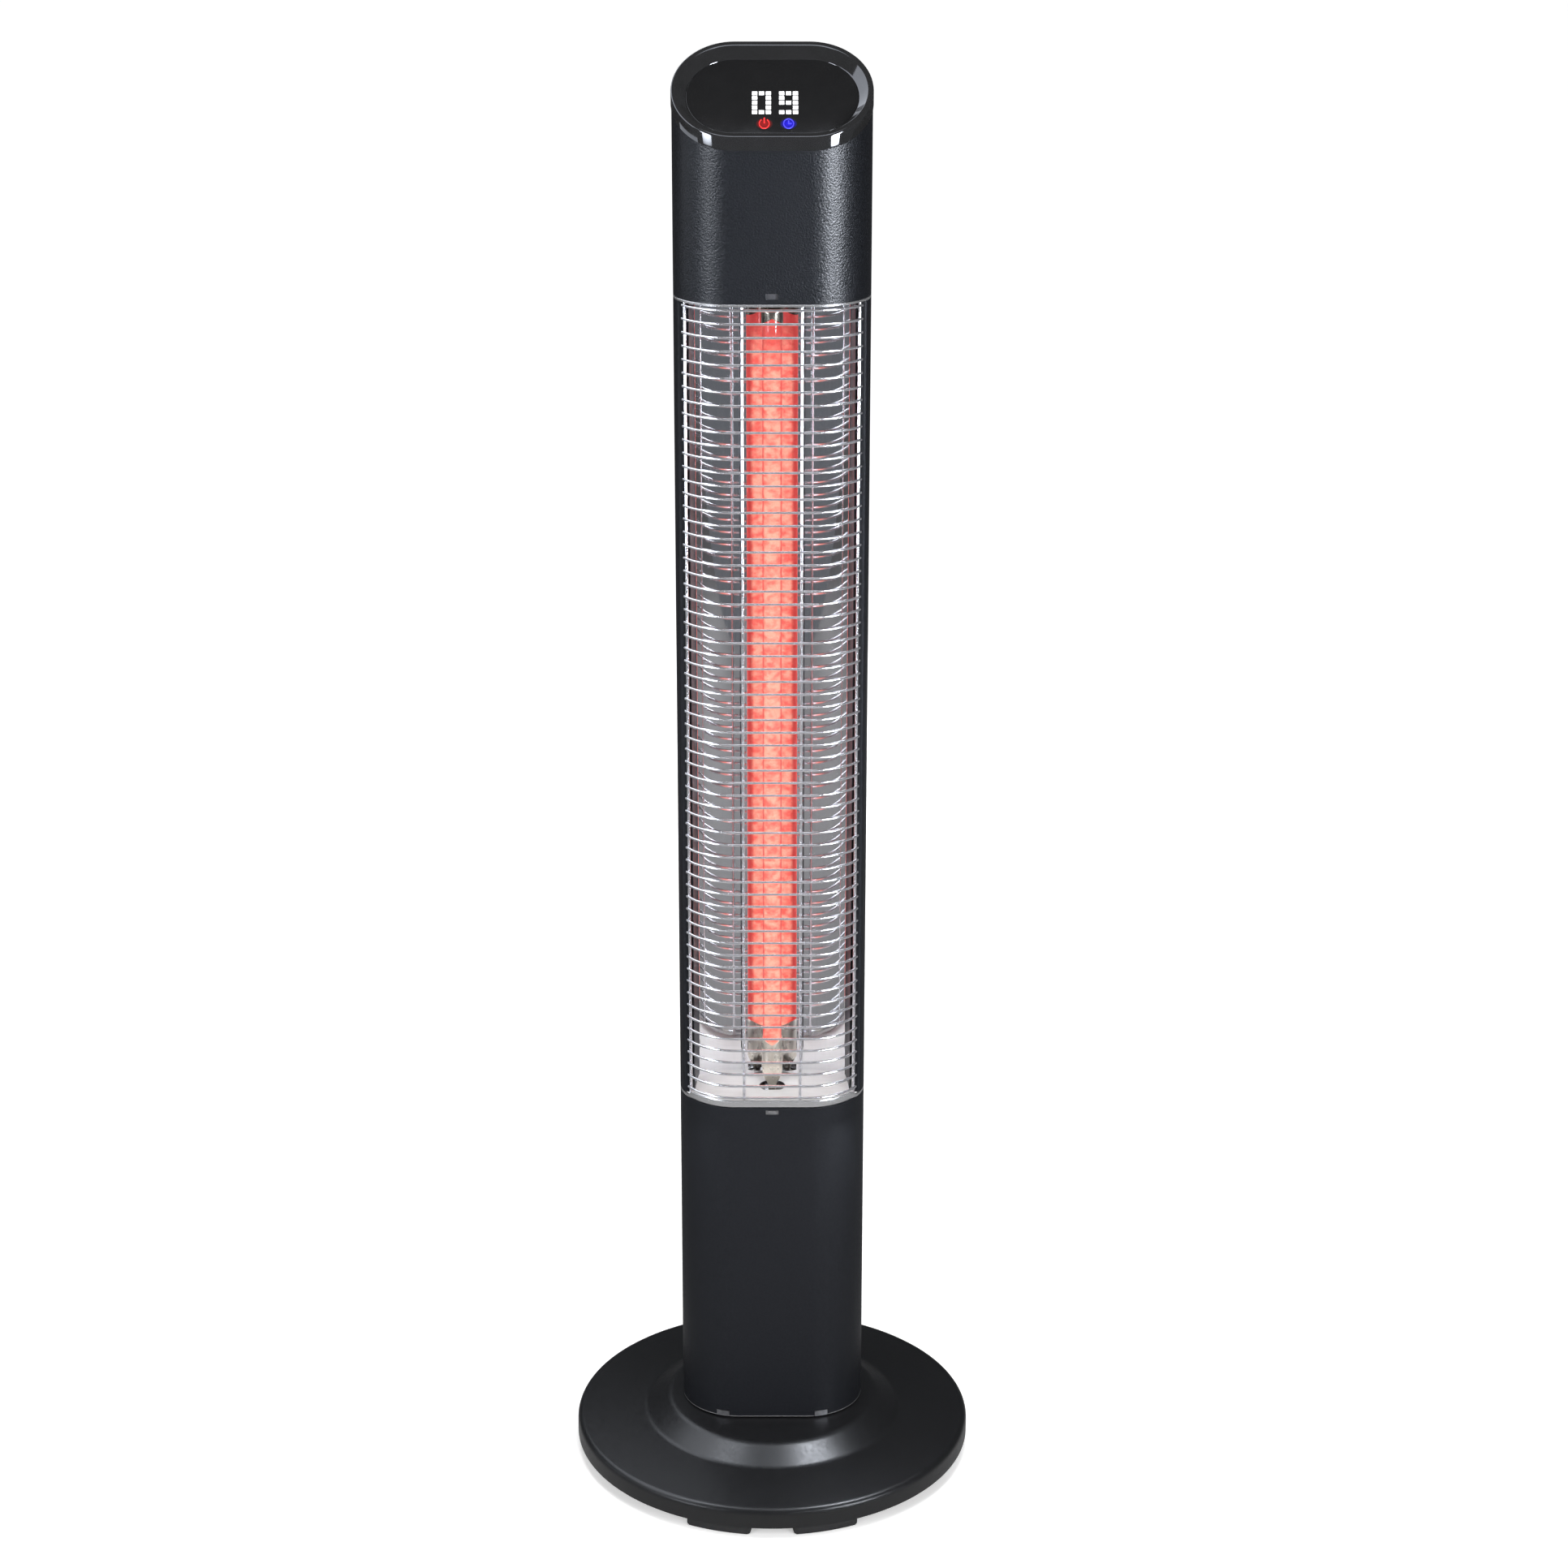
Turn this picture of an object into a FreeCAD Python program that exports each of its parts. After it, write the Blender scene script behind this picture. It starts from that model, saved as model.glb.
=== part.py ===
import FreeCAD, Part
import Sketcher
import math
import os
import re

# Infrared patio heater: an obround tower that swings on a round base.
# Millimetres, +Z up, origin on the floor at the centre of the base, front towards -Y.

os.makedirs("parts", exist_ok=True)
doc = FreeCAD.newDocument("patio_heater")
sheet = doc.addObject("Spreadsheet::Sheet", "Sizes")
Vector = FreeCAD.Vector

# Driving dimensions: alias and value
SIZES = [
    # Fits and cuts
    ("clearance", 0.3),
    ("running_gap", 0.05),
    ("overrun", 1.0),
    # Tower section and heights
    ("tower_width", 160.0),
    ("tower_depth", 100.0),
    ("wall", 2.0),
    ("column_height", 299.0),
    ("window_height", 696.0),
    ("housing_front_height", 121.5),
    ("bezel_height", 10.5),
    ("top_slope", 32.24),
    # Base
    ("base_radius", 175.0),
    ("foot_height", 12.0),
    ("foot_inset", 13.0),
    ("foot_width", 12.0),
    ("foot_gap", 37.0),
    ("plate_thickness", 3.0),
    ("cover_wall", 2.5),
    ("rim_height", 17.0),
    ("rim_round", 5.0),
    ("ring_round", 3.0),
    ("cover_rise", 4.0),
    ("ring_radius", 112.8),
    ("ring_height", 12.5),
    ("plateau_radius", 92.0),
    ("ballast_width", 28.0),
    ("ballast_gap", 5.0),
    ("ballast_height", 12.0),
    ("base_screw_inset", 19.0),
    ("boss_radius", 5.0),
    # Swivel
    ("hub_radius", 28.0),
    ("hub_bore", 22.0),
    ("hub_drop", 8.0),
    ("bush_wall", 3.0),
    ("bush_length", 5.5),
    ("bush_flange_radius", 40.0),
    ("bush_flange_thickness", 1.5),
    ("gear_module", 1.5),
    ("gear_thickness", 6.0),
    ("gear_backlash", 0.8),
    ("pinion_length", 8.0),
    ("pinion_shaft_radius", 3.5),
    ("pinion_shaft_length", 8.0),
    ("motor_radius", 21.0),
    ("motor_height", 15.0),
    ("motor_ear_length", 10.0),
    ("motor_ear_width", 9.0),
    ("motor_ear_thickness", 2.0),
    # Small screws
    ("screw_radius", 1.5),
    ("screw_head_radius", 2.8),
    ("screw_head_height", 2.0),
    ("screw_length", 8.0),
    # Tip-over switch
    ("switch_y", -70.0),
    ("switch_width", 24.0),
    ("switch_depth", 18.0),
    ("switch_height", 23.0),
    ("switch_roof", 2.0),
    ("plunger_radius", 4.0),
    ("plunger_head_radius", 6.0),
    ("plunger_head_height", 3.0),
    ("plunger_stem", 22.0),
    ("spring_radius", 4.6),
    ("spring_wire", 1.0),
    # Supply
    ("terminal_x", -62.0),
    ("terminal_y", 34.0),
    ("terminal_length", 32.0),
    ("terminal_width", 16.0),
    ("terminal_height", 12.0),
    ("gland_radius", 4.8),
    ("gland_bore", 3.6),
    ("gland_length", 24.0),
    ("gland_x", 36.0),
    ("gland_recess", 0.6),
    ("gland_height", 20.85),
    ("gland_collar", 2.0),
    # Column
    ("foot_plate", 6.0),
    ("tab_x", 43.5),
    ("tab_width", 11.0),
    ("tab_height", 5.0),
    ("tab_depth", 12.0),
    ("slot_width", 11.0),
    ("slot_height", 4.5),
    ("slot_drop", 4.0),
    ("upper_slot_width", 9.5),
    ("tongue_width", 7.0),
    ("tongue_height", 2.5),
    ("column_screw_x", 20.0),
    ("column_screw_inset", 3.0),
    # Heater box
    ("panel", 2.0),
    ("flange_height", 10.0),
    ("flange_wall", 1.2),
    ("rim_lip", 5.4),
    ("shell_wall", 1.5),
    ("shell_front", 20.0),
    ("lip_width", 7.0),
    ("mirror_sheet", 0.8),
    ("mirror_apex_y", 17.0),
    ("mirror_fold_x", 21.5),
    ("mirror_fold_y", 10.0),
    ("mirror_step_x", 27.0),
    ("mirror_step_y", 26.0),
    ("mirror_bow_inset", 17.8),
    ("mirror_bow_y", 23.0),
    ("mirror_edge_gap", 1.2),
    # Lamp
    ("lamp_y", -6.0),
    ("lamp_hole", 11.3),
    ("lamp_radius", 8.0),
    ("lamp_glass", 1.0),
    ("element_radius", 1.5),
    ("cap_radius", 9.0),
    ("cap_socket", 10.0),
    ("lower_cap_reach", 46.0),
    ("upper_cap_reach", 21.0),
    ("cap_throat", 10.0),
    ("tang_thickness", 3.0),
    ("tang_depth", 12.0),
    ("tang_hole", 2.0),
    ("holder_radius", 16.0),
    ("holder_height", 20.0),
    # Guard grille
    ("hoop_radius", 1.1),
    ("hoop_inset", 1.5),
    ("hoop_first", 9.0),
    ("hoop_last", 5.0),
    ("rod_radius", 1.35),
    ("rod_x", 24.0),
    ("hoop_end_y", 24.0),
    ("weld_overlap", 0.2),
    # Wiring
    ("loom_inset", 12.0),
    ("loom_radius", 3.5),
    ("grommet_wall", 1.5),
    ("grommet_height", 5.0),
    # Top: lens, display and boards
    ("bezel_overhang", 0.5),
    ("bezel_ridge", 4.0),
    ("lens_margin", 11.2),
    ("lens_drop", 6.0),
    ("lens_thickness", 2.0),
    ("lens_ledge", 4.0),
    ("board_drop", 13.0),
    ("board_thickness", 1.6),
    ("board_margin", 3.0),
    ("digit_width", 19.0),
    ("digit_depth", 27.0),
    ("digit_y", -6.5),
    ("digit_left_x", -7.6),
    ("digit_right_x", 13.6),
    ("receiver_size", 6.0),
    ("receiver_x", -40.0),
    ("receiver_y", -14.0),
    ("control_margin", 9.0),
    ("standoff_radius", 3.0),
    ("standoff_height", 42.0),
    ("standoff_inset", 8.0),
    ("standoff_turn_share", 0.7),
    ("relay_x", -30.0),
    ("relay_length", 29.0),
    ("relay_width", 13.0),
    ("relay_height", 16.0),
    ("sink_x", 24.0),
    ("sink_length", 36.0),
    ("sink_width", 30.0),
    ("sink_base", 4.0),
    ("sink_height", 22.0),
    ("fin_thickness", 2.0),
    ("cutout_x", 34.0),
    ("cutout_radius", 8.0),
    ("cutout_height", 7.0),
]

# Whole numbers of things
COUNTS = {"hoop_count": 63, "gear_teeth": 60, "pinion_teeth": 12, "fin_count": 6}

# Places and sizes that follow from the driving dimensions
DERIVED = {
    "plate_top": "foot_height + plate_thickness",
    "rim_top": "foot_height + rim_height",
    "foot_radius": "base_radius - foot_inset",
    "base_screw_circle": "base_radius - base_screw_inset",
    "ballast_outer": "base_screw_circle - boss_radius - ballast_gap",
    "ballast_inner": "ballast_outer - ballast_width",
    "ring_foot": "rim_top + cover_rise",
    "plateau_top": "ring_foot + ring_height",
    "bush_radius": "hub_radius + running_gap + bush_wall",
    "column_bottom": "plateau_top + bush_flange_thickness",
    "hub_bottom": "column_bottom - hub_drop",
    "gear_bottom": "hub_bottom - gear_thickness",
    "gear_pitch_radius": "gear_module * gear_teeth / 2",
    "pinion_pitch_radius": "gear_module * pinion_teeth / 2",
    "motor_y": "gear_pitch_radius + pinion_pitch_radius",
    "pinion_bottom": "gear_bottom - (pinion_length - gear_thickness) / 2",
    "motor_screw_x": "motor_radius + motor_ear_length / 2",
    "gland_end": "sqrt(base_radius^2 - (gland_x + gland_radius)^2) - gland_recess",
    "window_bottom": "column_bottom + column_height",
    "floor_top": "window_bottom + panel",
    "window_top": "window_bottom + window_height",
    "ceiling_bottom": "window_top - panel",
    "box_height": "window_height - panel * 2",
    "bezel_front": "window_top + housing_front_height + bezel_height",
    "inner_width": "tower_width - wall * 2 - clearance * 2",
    "inner_depth": "tower_depth - wall * 2 - clearance * 2",
    "corner_x": "(tower_width - tower_depth) / 2",
    "shell_edge_x": "corner_x + sqrt((tower_depth / 2 - shell_wall / 2)^2 - shell_front^2)",
    "mirror_edge_x": "shell_edge_x - lip_width - mirror_edge_gap",
    "mirror_bow_x": "mirror_edge_x - mirror_bow_inset",
    "hoop_bend": "tower_depth / 2 - hoop_inset",
    "rod_bend": "hoop_bend - hoop_radius - rod_radius + weld_overlap",
    "hoop_low": "window_bottom + hoop_first",
    "hoop_pitch": "(window_height - hoop_first - hoop_last) / (hoop_count - 1)",
    "lower_cap_top": "floor_top + lower_cap_reach",
    "upper_cap_bottom": "ceiling_bottom - upper_cap_reach",
    "element_bottom": "lower_cap_top - cap_socket",
    "element_top": "upper_cap_bottom + cap_socket",
    "lens_width": "tower_width - lens_margin * 2",
    "lens_depth": "tower_depth - lens_margin * 2",
    "control_width": "inner_width - control_margin * 2",
    "control_depth": "inner_depth - control_margin * 2",
    "loom_y": "tower_depth / 2 - loom_inset",
    "standoff_x": "corner_x + (control_depth / 2 - standoff_inset) * standoff_turn_share",
    "standoff_y": "(control_depth / 2 - standoff_inset) * standoff_turn_share",
    "control_bottom": "window_top + standoff_height",
    "control_top": "control_bottom + board_thickness",
    "lens_bottom_drop": "lens_drop + lens_thickness",
    "board_bottom_drop": "board_drop + board_thickness",
}

for row, (alias, value) in enumerate(SIZES + sorted(COUNTS.items()), start=1):
    sheet.set("A%d" % row, alias)
    sheet.set("B%d" % row, str(value))
    sheet.setAlias("B%d" % row, alias)
doc.recompute()


def expression(formula):
    """A formula in plain names, as an expression on the sheet."""
    def named(match):
        word = match.group(0)
        if word in DERIVED:
            return "(" + expression(DERIVED[word]) + ")"
        if sheet.getCellFromAlias(word):
            return "Sizes." + word
        return word
    return re.sub(r"[A-Za-z_]+", named, str(formula))


def number(formula):
    """The present value of a formula."""
    return float(sheet.evalExpression(expression(formula)))


def bind(item, **formulas):
    """Ties properties of a document object to formulas; dots are written as double underscores."""
    for name, formula in formulas.items():
        item.setExpression(name.replace("__", "."), expression(formula))


def place(item, x, y, z):
    bind(item, Placement__Base__x=x, Placement__Base__y=y, Placement__Base__z=z)
    return item


def box(name, size_x, size_y, size_z, x, y, z):
    """A box centred on x and y, standing on z."""
    item = doc.addObject("Part::Box", name)
    bind(item, Length=size_x, Width=size_y, Height=size_z)
    return place(item, "%s - (%s) / 2" % (x, size_x), "%s - (%s) / 2" % (y, size_y), z)


def rod(name, radius, length, x, y, z, along="Z"):
    """A round bar from x, y, z along +Z or +Y."""
    item = doc.addObject("Part::Cylinder", name)
    if along == "Y":
        item.Placement.Rotation = FreeCAD.Rotation(Vector(1, 0, 0), -90)
    bind(item, Radius=radius, Height=length)
    return place(item, x, y, z)


def cut(name, base, *tools):
    tool = tools[0] if len(tools) == 1 else fuse(name + "_tools", *tools)
    item = doc.addObject("Part::Cut", name)
    item.Base = base
    item.Tool = tool
    return item


def fuse(name, *shapes):
    item = doc.addObject("Part::MultiFuse", name)
    item.Shapes = list(shapes)
    return item


def common(name, *shapes):
    item = doc.addObject("Part::MultiCommon", name)
    item.Shapes = list(shapes)
    return item


def group(name, *shapes):
    """Separate solids that share one node."""
    item = doc.addObject("Part::Compound", name)
    item.Links = list(shapes)
    return item


def constrain(sketch, formula, *constraint):
    """Adds a dimension to a sketch and ties it to a formula."""
    index = sketch.addConstraint(Sketcher.Constraint(*constraint, number(formula)))
    sketch.setExpression("Constraints[%d]" % index, expression(formula))


def draw_obround(sketch, width, depth):
    bend = number(depth) / 2
    reach = (number(width) - number(depth)) / 2
    right = Part.Circle(Vector(reach, 0, 0), Vector(0, 0, 1), bend)
    left = Part.Circle(Vector(-reach, 0, 0), Vector(0, 0, 1), bend)
    quarter = math.pi / 2
    first = sketch.addGeometry([
        Part.LineSegment(Vector(-reach, bend, 0), Vector(reach, bend, 0)),
        Part.ArcOfCircle(right, -quarter, quarter),
        Part.LineSegment(Vector(reach, -bend, 0), Vector(-reach, -bend, 0)),
        Part.ArcOfCircle(left, quarter, 3 * quarter),
    ])[0]
    top, end, bottom, start = first, first + 1, first + 2, first + 3
    for rule in [
        ("Tangent", top, 2, end, 2),
        ("Tangent", end, 1, bottom, 1),
        ("Tangent", bottom, 2, start, 2),
        ("Tangent", start, 1, top, 1),
        ("Symmetric", end, 3, start, 3, -1, 1),
        ("PointOnObject", end, 3, -1),
        ("Equal", end, start),
    ]:
        sketch.addConstraint(Sketcher.Constraint(*rule))
    constrain(sketch, "(%s) / 2" % depth, "Radius", end)
    constrain(sketch, "%s - (%s)" % (width, depth), "DistanceX", start, 3, end, 3)


def draw_circle(sketch, radius):
    circle = sketch.addGeometry(Part.Circle(Vector(0, 0, 0), Vector(0, 0, 1), number(radius)))
    sketch.addConstraint(Sketcher.Constraint("Coincident", circle, 3, -1, 1))
    constrain(sketch, radius, "Radius", circle)


def new_sketch(body, role):
    sketch = body.newObject("Sketcher::SketchObject", body.Name + "_sketch")
    plane = [item for item in body.Origin.OriginFeatures if item.Role == role][0]
    sketch.AttachmentSupport = [(plane, "")]
    sketch.MapMode = "FlatFace"
    return sketch


def prism(name, outlines, bottom, height):
    """A padded body: an obround outline is a pair of sizes, a circle is one radius."""
    body = doc.addObject("PartDesign::Body", name)
    sketch = new_sketch(body, "XY_Plane")
    for outline in outlines:
        if isinstance(outline, tuple):
            draw_obround(sketch, *outline)
        else:
            draw_circle(sketch, outline)
    bind(sketch, AttachmentOffset__Base__z=bottom)
    pad = body.newObject("PartDesign::Pad", name + "_pad")
    pad.Profile = sketch
    bind(pad, Length=height)
    sketch.Visibility = False
    return body


def obround_ring(name, inset, thickness, bottom, height):
    """A hollow obround tube, set in from the tower's outline."""
    outer = ("tower_width - (%s) * 2" % inset, "tower_depth - (%s) * 2" % inset)
    inner = tuple("%s - (%s) * 2" % (size, thickness) for size in outer)
    return prism(name, [outer, inner], bottom, height)


def turned(name, points):
    """A body turned about Z from an outline of radius and height formulas."""
    body = doc.addObject("PartDesign::Body", name)
    sketch = new_sketch(body, "XZ_Plane")
    corners = [Vector(number(radius), number(height), 0) for radius, height in points]
    for index, corner in enumerate(corners):
        sketch.addGeometry(Part.LineSegment(corner, corners[(index + 1) % len(corners)]))
    for index in range(len(corners)):
        following = (index + 1) % len(corners)
        sketch.addConstraint(Sketcher.Constraint("Coincident", index, 2, following, 1))
    for index, (radius, height) in enumerate(points):
        constrain(sketch, radius, "DistanceX", -1, 1, index, 1)
        constrain(sketch, height, "DistanceY", -1, 1, index, 1)
    turn = body.newObject("PartDesign::Revolution", name + "_turn")
    turn.Profile = sketch
    turn.ReferenceAxis = (sketch, ["V_Axis"])
    turn.Angle = 360
    return body


def round_edge(body, rounding, radius, height):
    """Rounds the circular edge of a turned body at a radius and height."""
    doc.recompute()
    base = body.Tip
    names = []
    for index, edge in enumerate(base.Shape.Edges, start=1):
        middle = edge.BoundBox
        level = abs(middle.ZMax - number(height)) + abs(middle.ZMin - number(height))
        if level < number("running_gap") and abs(middle.XMax - number(radius)) < number("running_gap"):
            names.append("Edge%d" % index)
    fillet = body.newObject("PartDesign::Fillet", body.Name + "_round")
    fillet.Base = (base, names)
    bind(fillet, Radius=rounding)


def slab(name, upper_drop, lower_drop):
    """A slanted slab between two planes, given by how far below the bezel's ridge they lie."""
    item = doc.addObject("Part::Box", name)
    item.Placement.Rotation = FreeCAD.Rotation(Vector(1, 0, 0), number("top_slope"))
    bind(
        item,
        Length="tower_width * 2",
        Width="tower_depth * 3",
        Height="(%s - (%s)) * cos(top_slope)" % (lower_drop, upper_drop),
        Placement__Rotation__Angle="top_slope",
    )
    return place(
        item,
        "-tower_width",
        "-tower_depth / 2 - tower_depth * cos(top_slope)",
        "bezel_front - (%s) - tower_depth * sin(top_slope)" % lower_drop,
    )


def slanted(name, outlines, upper_drop, lower_drop):
    """An upright prism kept between two slanted planes."""
    bottom = "bezel_front - (%s) - tower_depth" % lower_drop
    upright = prism(name + "_upright", outlines, bottom, "tower_depth * 3")
    return common(name, upright, slab(name + "_slab", upper_drop, lower_drop))


def solid_feature(name, shape):
    item = doc.addObject("Part::Feature", name)
    item.Shape = shape
    return item


def screw(name, x, y, z, upward):
    """A pan-head screw whose head seats at z: it drives upward or downward from there."""
    if upward:
        head = rod(name + "_head", "screw_head_radius", "screw_head_height", x, y, "%s - screw_head_height" % z)
        shank = rod(name + "_shank", "screw_radius", "screw_length", x, y, z)
    else:
        head = rod(name + "_head", "screw_head_radius", "screw_head_height", x, y, z)
        shank = rod(name + "_shank", "screw_radius", "screw_length", x, y, "%s - screw_length" % z)
    return fuse(name, head, shank)


SUBPARTS = []


def part(label, item):
    """Names a finished sub-part."""
    item.Label = label
    SUBPARTS.append(item)
    return item


# Where the four base screws lie, and the two sides of the tower
QUARTERS = [("front", "0", "-base_screw_circle"), ("right", "base_screw_circle", "0"),
            ("back", "0", "base_screw_circle"), ("left", "-base_screw_circle", "0")]
SIDES = [("left", "-1"), ("right", "1")]


# Base cover: a turned shell with a raised ring, bosses for the base screws and a hole for the gland
def build_base_cover():
    inner = "base_radius - cover_wall"
    shell = turned("cover_shell", [
        ("base_radius", "foot_height"),
        ("base_radius", "rim_top"),
        ("ring_radius", "ring_foot"),
        ("plateau_radius", "plateau_top"),
        ("bush_radius + clearance", "plateau_top"),
        ("bush_radius + clearance", "plateau_top - cover_wall"),
        ("plateau_radius - cover_wall", "plateau_top - cover_wall"),
        ("ring_radius - cover_wall", "ring_foot - cover_wall"),
        (inner + " - rim_round", "rim_top - cover_wall"),
        (inner, "rim_top - rim_round"),
        (inner, "foot_height"),
    ])
    round_edge(shell, "rim_round", "base_radius", "rim_top")
    round_edge(shell, "ring_round", "ring_radius", "ring_foot")
    round_edge(shell, "ring_round", "plateau_radius", "plateau_top")
    bosses = []
    for side, x, y in QUARTERS:
        bosses.append(rod("boss_" + side, "boss_radius", "rim_height - cover_wall / 2 - plate_thickness",
                          x, y, "plate_top"))
    bossed = fuse("cover_bossed", shell, *bosses)
    holes = []
    for side, x, y in QUARTERS:
        holes.append(rod("boss_hole_" + side, "screw_radius", "screw_length", x, y, "foot_height"))
    gland_hole = rod("cover_gland_hole", "gland_radius + clearance", "gland_length", "gland_x",
                     "base_radius + overrun - gland_length", "gland_height", "Y")
    return part("base_cover", cut("base_cover", bossed, gland_hole, *holes))


def build_base_plate():
    disc = prism("plate_disc", ["base_radius - cover_wall - clearance"], "foot_height", "plate_thickness")
    holes = []
    for side, x, y in QUARTERS:
        holes.append(rod("plate_hole_" + side, "screw_radius", "plate_thickness", x, y, "foot_height"))
    for side, sign in SIDES:
        holes.append(rod("plate_motor_hole_" + side, "screw_radius", "plate_thickness",
                         "%s * motor_screw_x" % sign, "motor_y", "foot_height"))
    plunger_hole = rod("plate_plunger_hole", "plunger_radius + running_gap", "plate_thickness",
                       "0", "switch_y", "foot_height")
    return part("base_bottom_plate", cut("base_bottom_plate", disc, plunger_hole, *holes))


def build_base_feet():
    ring = prism("feet_ring", ["foot_radius", "foot_radius - foot_width"], "0", "foot_height")
    gaps = [
        box("feet_gap_across", "foot_radius * 3", "foot_gap", "foot_height * 3", "0", "0", "-foot_height"),
        box("feet_gap_along", "foot_gap", "foot_radius * 3", "foot_height * 3", "0", "0", "-foot_height"),
    ]
    return part("base_feet", cut("base_feet", ring, *gaps))


def build_base_inside():
    part("base_ballast", prism("base_ballast", ["ballast_outer", "ballast_inner"], "plate_top", "ballast_height"))
    screws = [screw("base_screw_" + side, x, y, "foot_height", True) for side, x, y in QUARTERS]
    part("base_screws", group("base_screws", *screws))
    bush = turned("bearing_bush", [
        ("hub_radius + running_gap", "column_bottom"),
        ("bush_flange_radius", "column_bottom"),
        ("bush_flange_radius", "plateau_top"),
        ("bush_radius", "plateau_top"),
        ("bush_radius", "plateau_top - bush_length"),
        ("hub_radius + running_gap", "plateau_top - bush_length"),
    ])
    part("bearing_bush", bush)
    terminal = box("terminal_block", "terminal_length", "terminal_width", "terminal_height",
                   "terminal_x", "terminal_y", "plate_top")
    part("terminal_block", terminal)
    gland_y = "gland_end - gland_length"
    sleeve = rod("gland_sleeve", "gland_radius", "gland_length", "gland_x", gland_y, "gland_height", "Y")
    collar = rod("gland_flange", "gland_radius + gland_collar / 4", "gland_collar", "gland_x",
                 "gland_end - cover_wall - rim_round - clearance - gland_collar", "gland_height", "Y")
    bore = rod("gland_hole", "gland_bore", "gland_length", "gland_x", gland_y, "gland_height", "Y")
    part("cord_gland", cut("cord_gland", fuse("gland_body", sleeve, collar), bore))


def gear_face(teeth, bore, turn_share):
    """A spur gear's face with straight-flanked teeth, turned by a share of one tooth pitch."""
    module = number("gear_module")
    pitch_radius = module * teeth / 2
    addendum_share, dedendum_share = 1.0, 1.25
    flank_share = 0.36
    tip = pitch_radius + module * addendum_share
    root = pitch_radius - module * dedendum_share
    half = (math.pi * module - number("gear_backlash") * 2) / 4
    points = []
    for tooth in range(teeth):
        middle = 2 * math.pi * (tooth + turn_share) / teeth
        for radius, side in [(root, -1), (tip, -1), (tip, 1), (root, 1)]:
            lean = (pitch_radius - radius) * flank_share
            angle = middle + side * (half + lean) / radius
            points.append(Vector(radius * math.cos(angle), radius * math.sin(angle), 0))
    outline = Part.Face(Part.makePolygon(points + points[:1]))
    if bore:
        hole = Part.Face(Part.Wire(Part.makeCircle(bore)))
        outline = outline.cut(hole)
    return outline


def build_swing_drive():
    rise = Vector(0, 0, number("gear_thickness"))
    ring = gear_face(int(number("gear_teeth")), number("hub_bore"), 0).extrude(rise)
    gear = solid_feature("gear_blank", ring)
    place(gear, "0", "0", "gear_bottom")
    screw_ring = "(hub_radius + hub_bore) / 2"
    spots = [("front", "0", "-" + screw_ring), ("back", "0", screw_ring),
             ("left", "-" + screw_ring, "0"), ("right", screw_ring, "0")]
    holes = [rod("gear_hole_" + side, "screw_radius", "gear_thickness", x, y, "gear_bottom")
             for side, x, y in spots]
    part("swivel_gear", cut("swivel_gear", gear, *holes))
    screws = [screw("gear_screw_" + side, x, y, "gear_bottom", True) for side, x, y in spots]
    part("gear_screws", group("gear_screws", *screws))
    half_pitch_share = 0.5
    face = gear_face(int(number("pinion_teeth")), 0, half_pitch_share)
    teeth = solid_feature("pinion_teeth_blank", face.extrude(Vector(0, 0, number("pinion_length"))))
    place(teeth, "0", "motor_y", "pinion_bottom")
    shaft = rod("pinion_shaft", "pinion_shaft_radius", "pinion_shaft_length", "0", "motor_y",
                "pinion_bottom - pinion_shaft_length")
    part("drive_pinion", fuse("drive_pinion", teeth, shaft))
    can = rod("motor_can", "motor_radius", "motor_height", "0", "motor_y", "plate_top")
    ears = box("motor_ears", "(motor_radius + motor_ear_length) * 2", "motor_ear_width", "motor_ear_thickness",
               "0", "motor_y", "plate_top")
    socket = rod("motor_socket", "pinion_shaft_radius + running_gap", "pinion_shaft_length", "0", "motor_y",
                 "pinion_bottom - pinion_shaft_length")
    ear_holes = [rod("motor_ear_hole_" + side, "screw_radius", "motor_ear_thickness",
                     "%s * motor_screw_x" % sign, "motor_y", "plate_top") for side, sign in SIDES]
    part("swing_motor", cut("swing_motor", fuse("motor_body", can, ears), socket, *ear_holes))
    ear_top = "plate_top + motor_ear_thickness"
    motor_screws = [cut("motor_screw_" + side,
                        screw("motor_screw_long_" + side, "%s * motor_screw_x" % sign, "motor_y", ear_top, False),
                        box("motor_screw_end_" + side, "motor_ear_width", "motor_ear_width", "screw_length",
                            "%s * motor_screw_x" % sign, "motor_y", "foot_height - screw_length"))
                    for side, sign in SIDES]
    part("motor_screws", group("motor_screws", *motor_screws))


def build_tip_switch():
    block = box("switch_block", "switch_width", "switch_depth", "switch_height", "0", "switch_y", "plate_top")
    well = rod("switch_well", "plunger_head_radius + clearance", "switch_height - switch_roof",
               "0", "switch_y", "plate_top")
    part("tip_switch_housing", cut("tip_switch_housing", block, well))
    stem = rod("plunger_stem", "plunger_radius", "plunger_stem", "0", "switch_y", "0")
    head = rod("plunger_head", "plunger_head_radius", "plunger_head_height", "0", "switch_y", "plunger_stem")
    part("tip_plunger", fuse("tip_plunger", stem, head))
    spring_bottom = "plunger_stem + plunger_head_height"
    spring_height = "plate_top + switch_height - switch_roof - plunger_stem - plunger_head_height"
    sleeve = rod("spring_sleeve", "spring_radius", spring_height, "0", "switch_y", spring_bottom)
    core = rod("spring_core", "spring_radius - spring_wire", spring_height, "0", "switch_y", spring_bottom)
    part("tip_spring", cut("tip_spring", sleeve, core))


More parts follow.
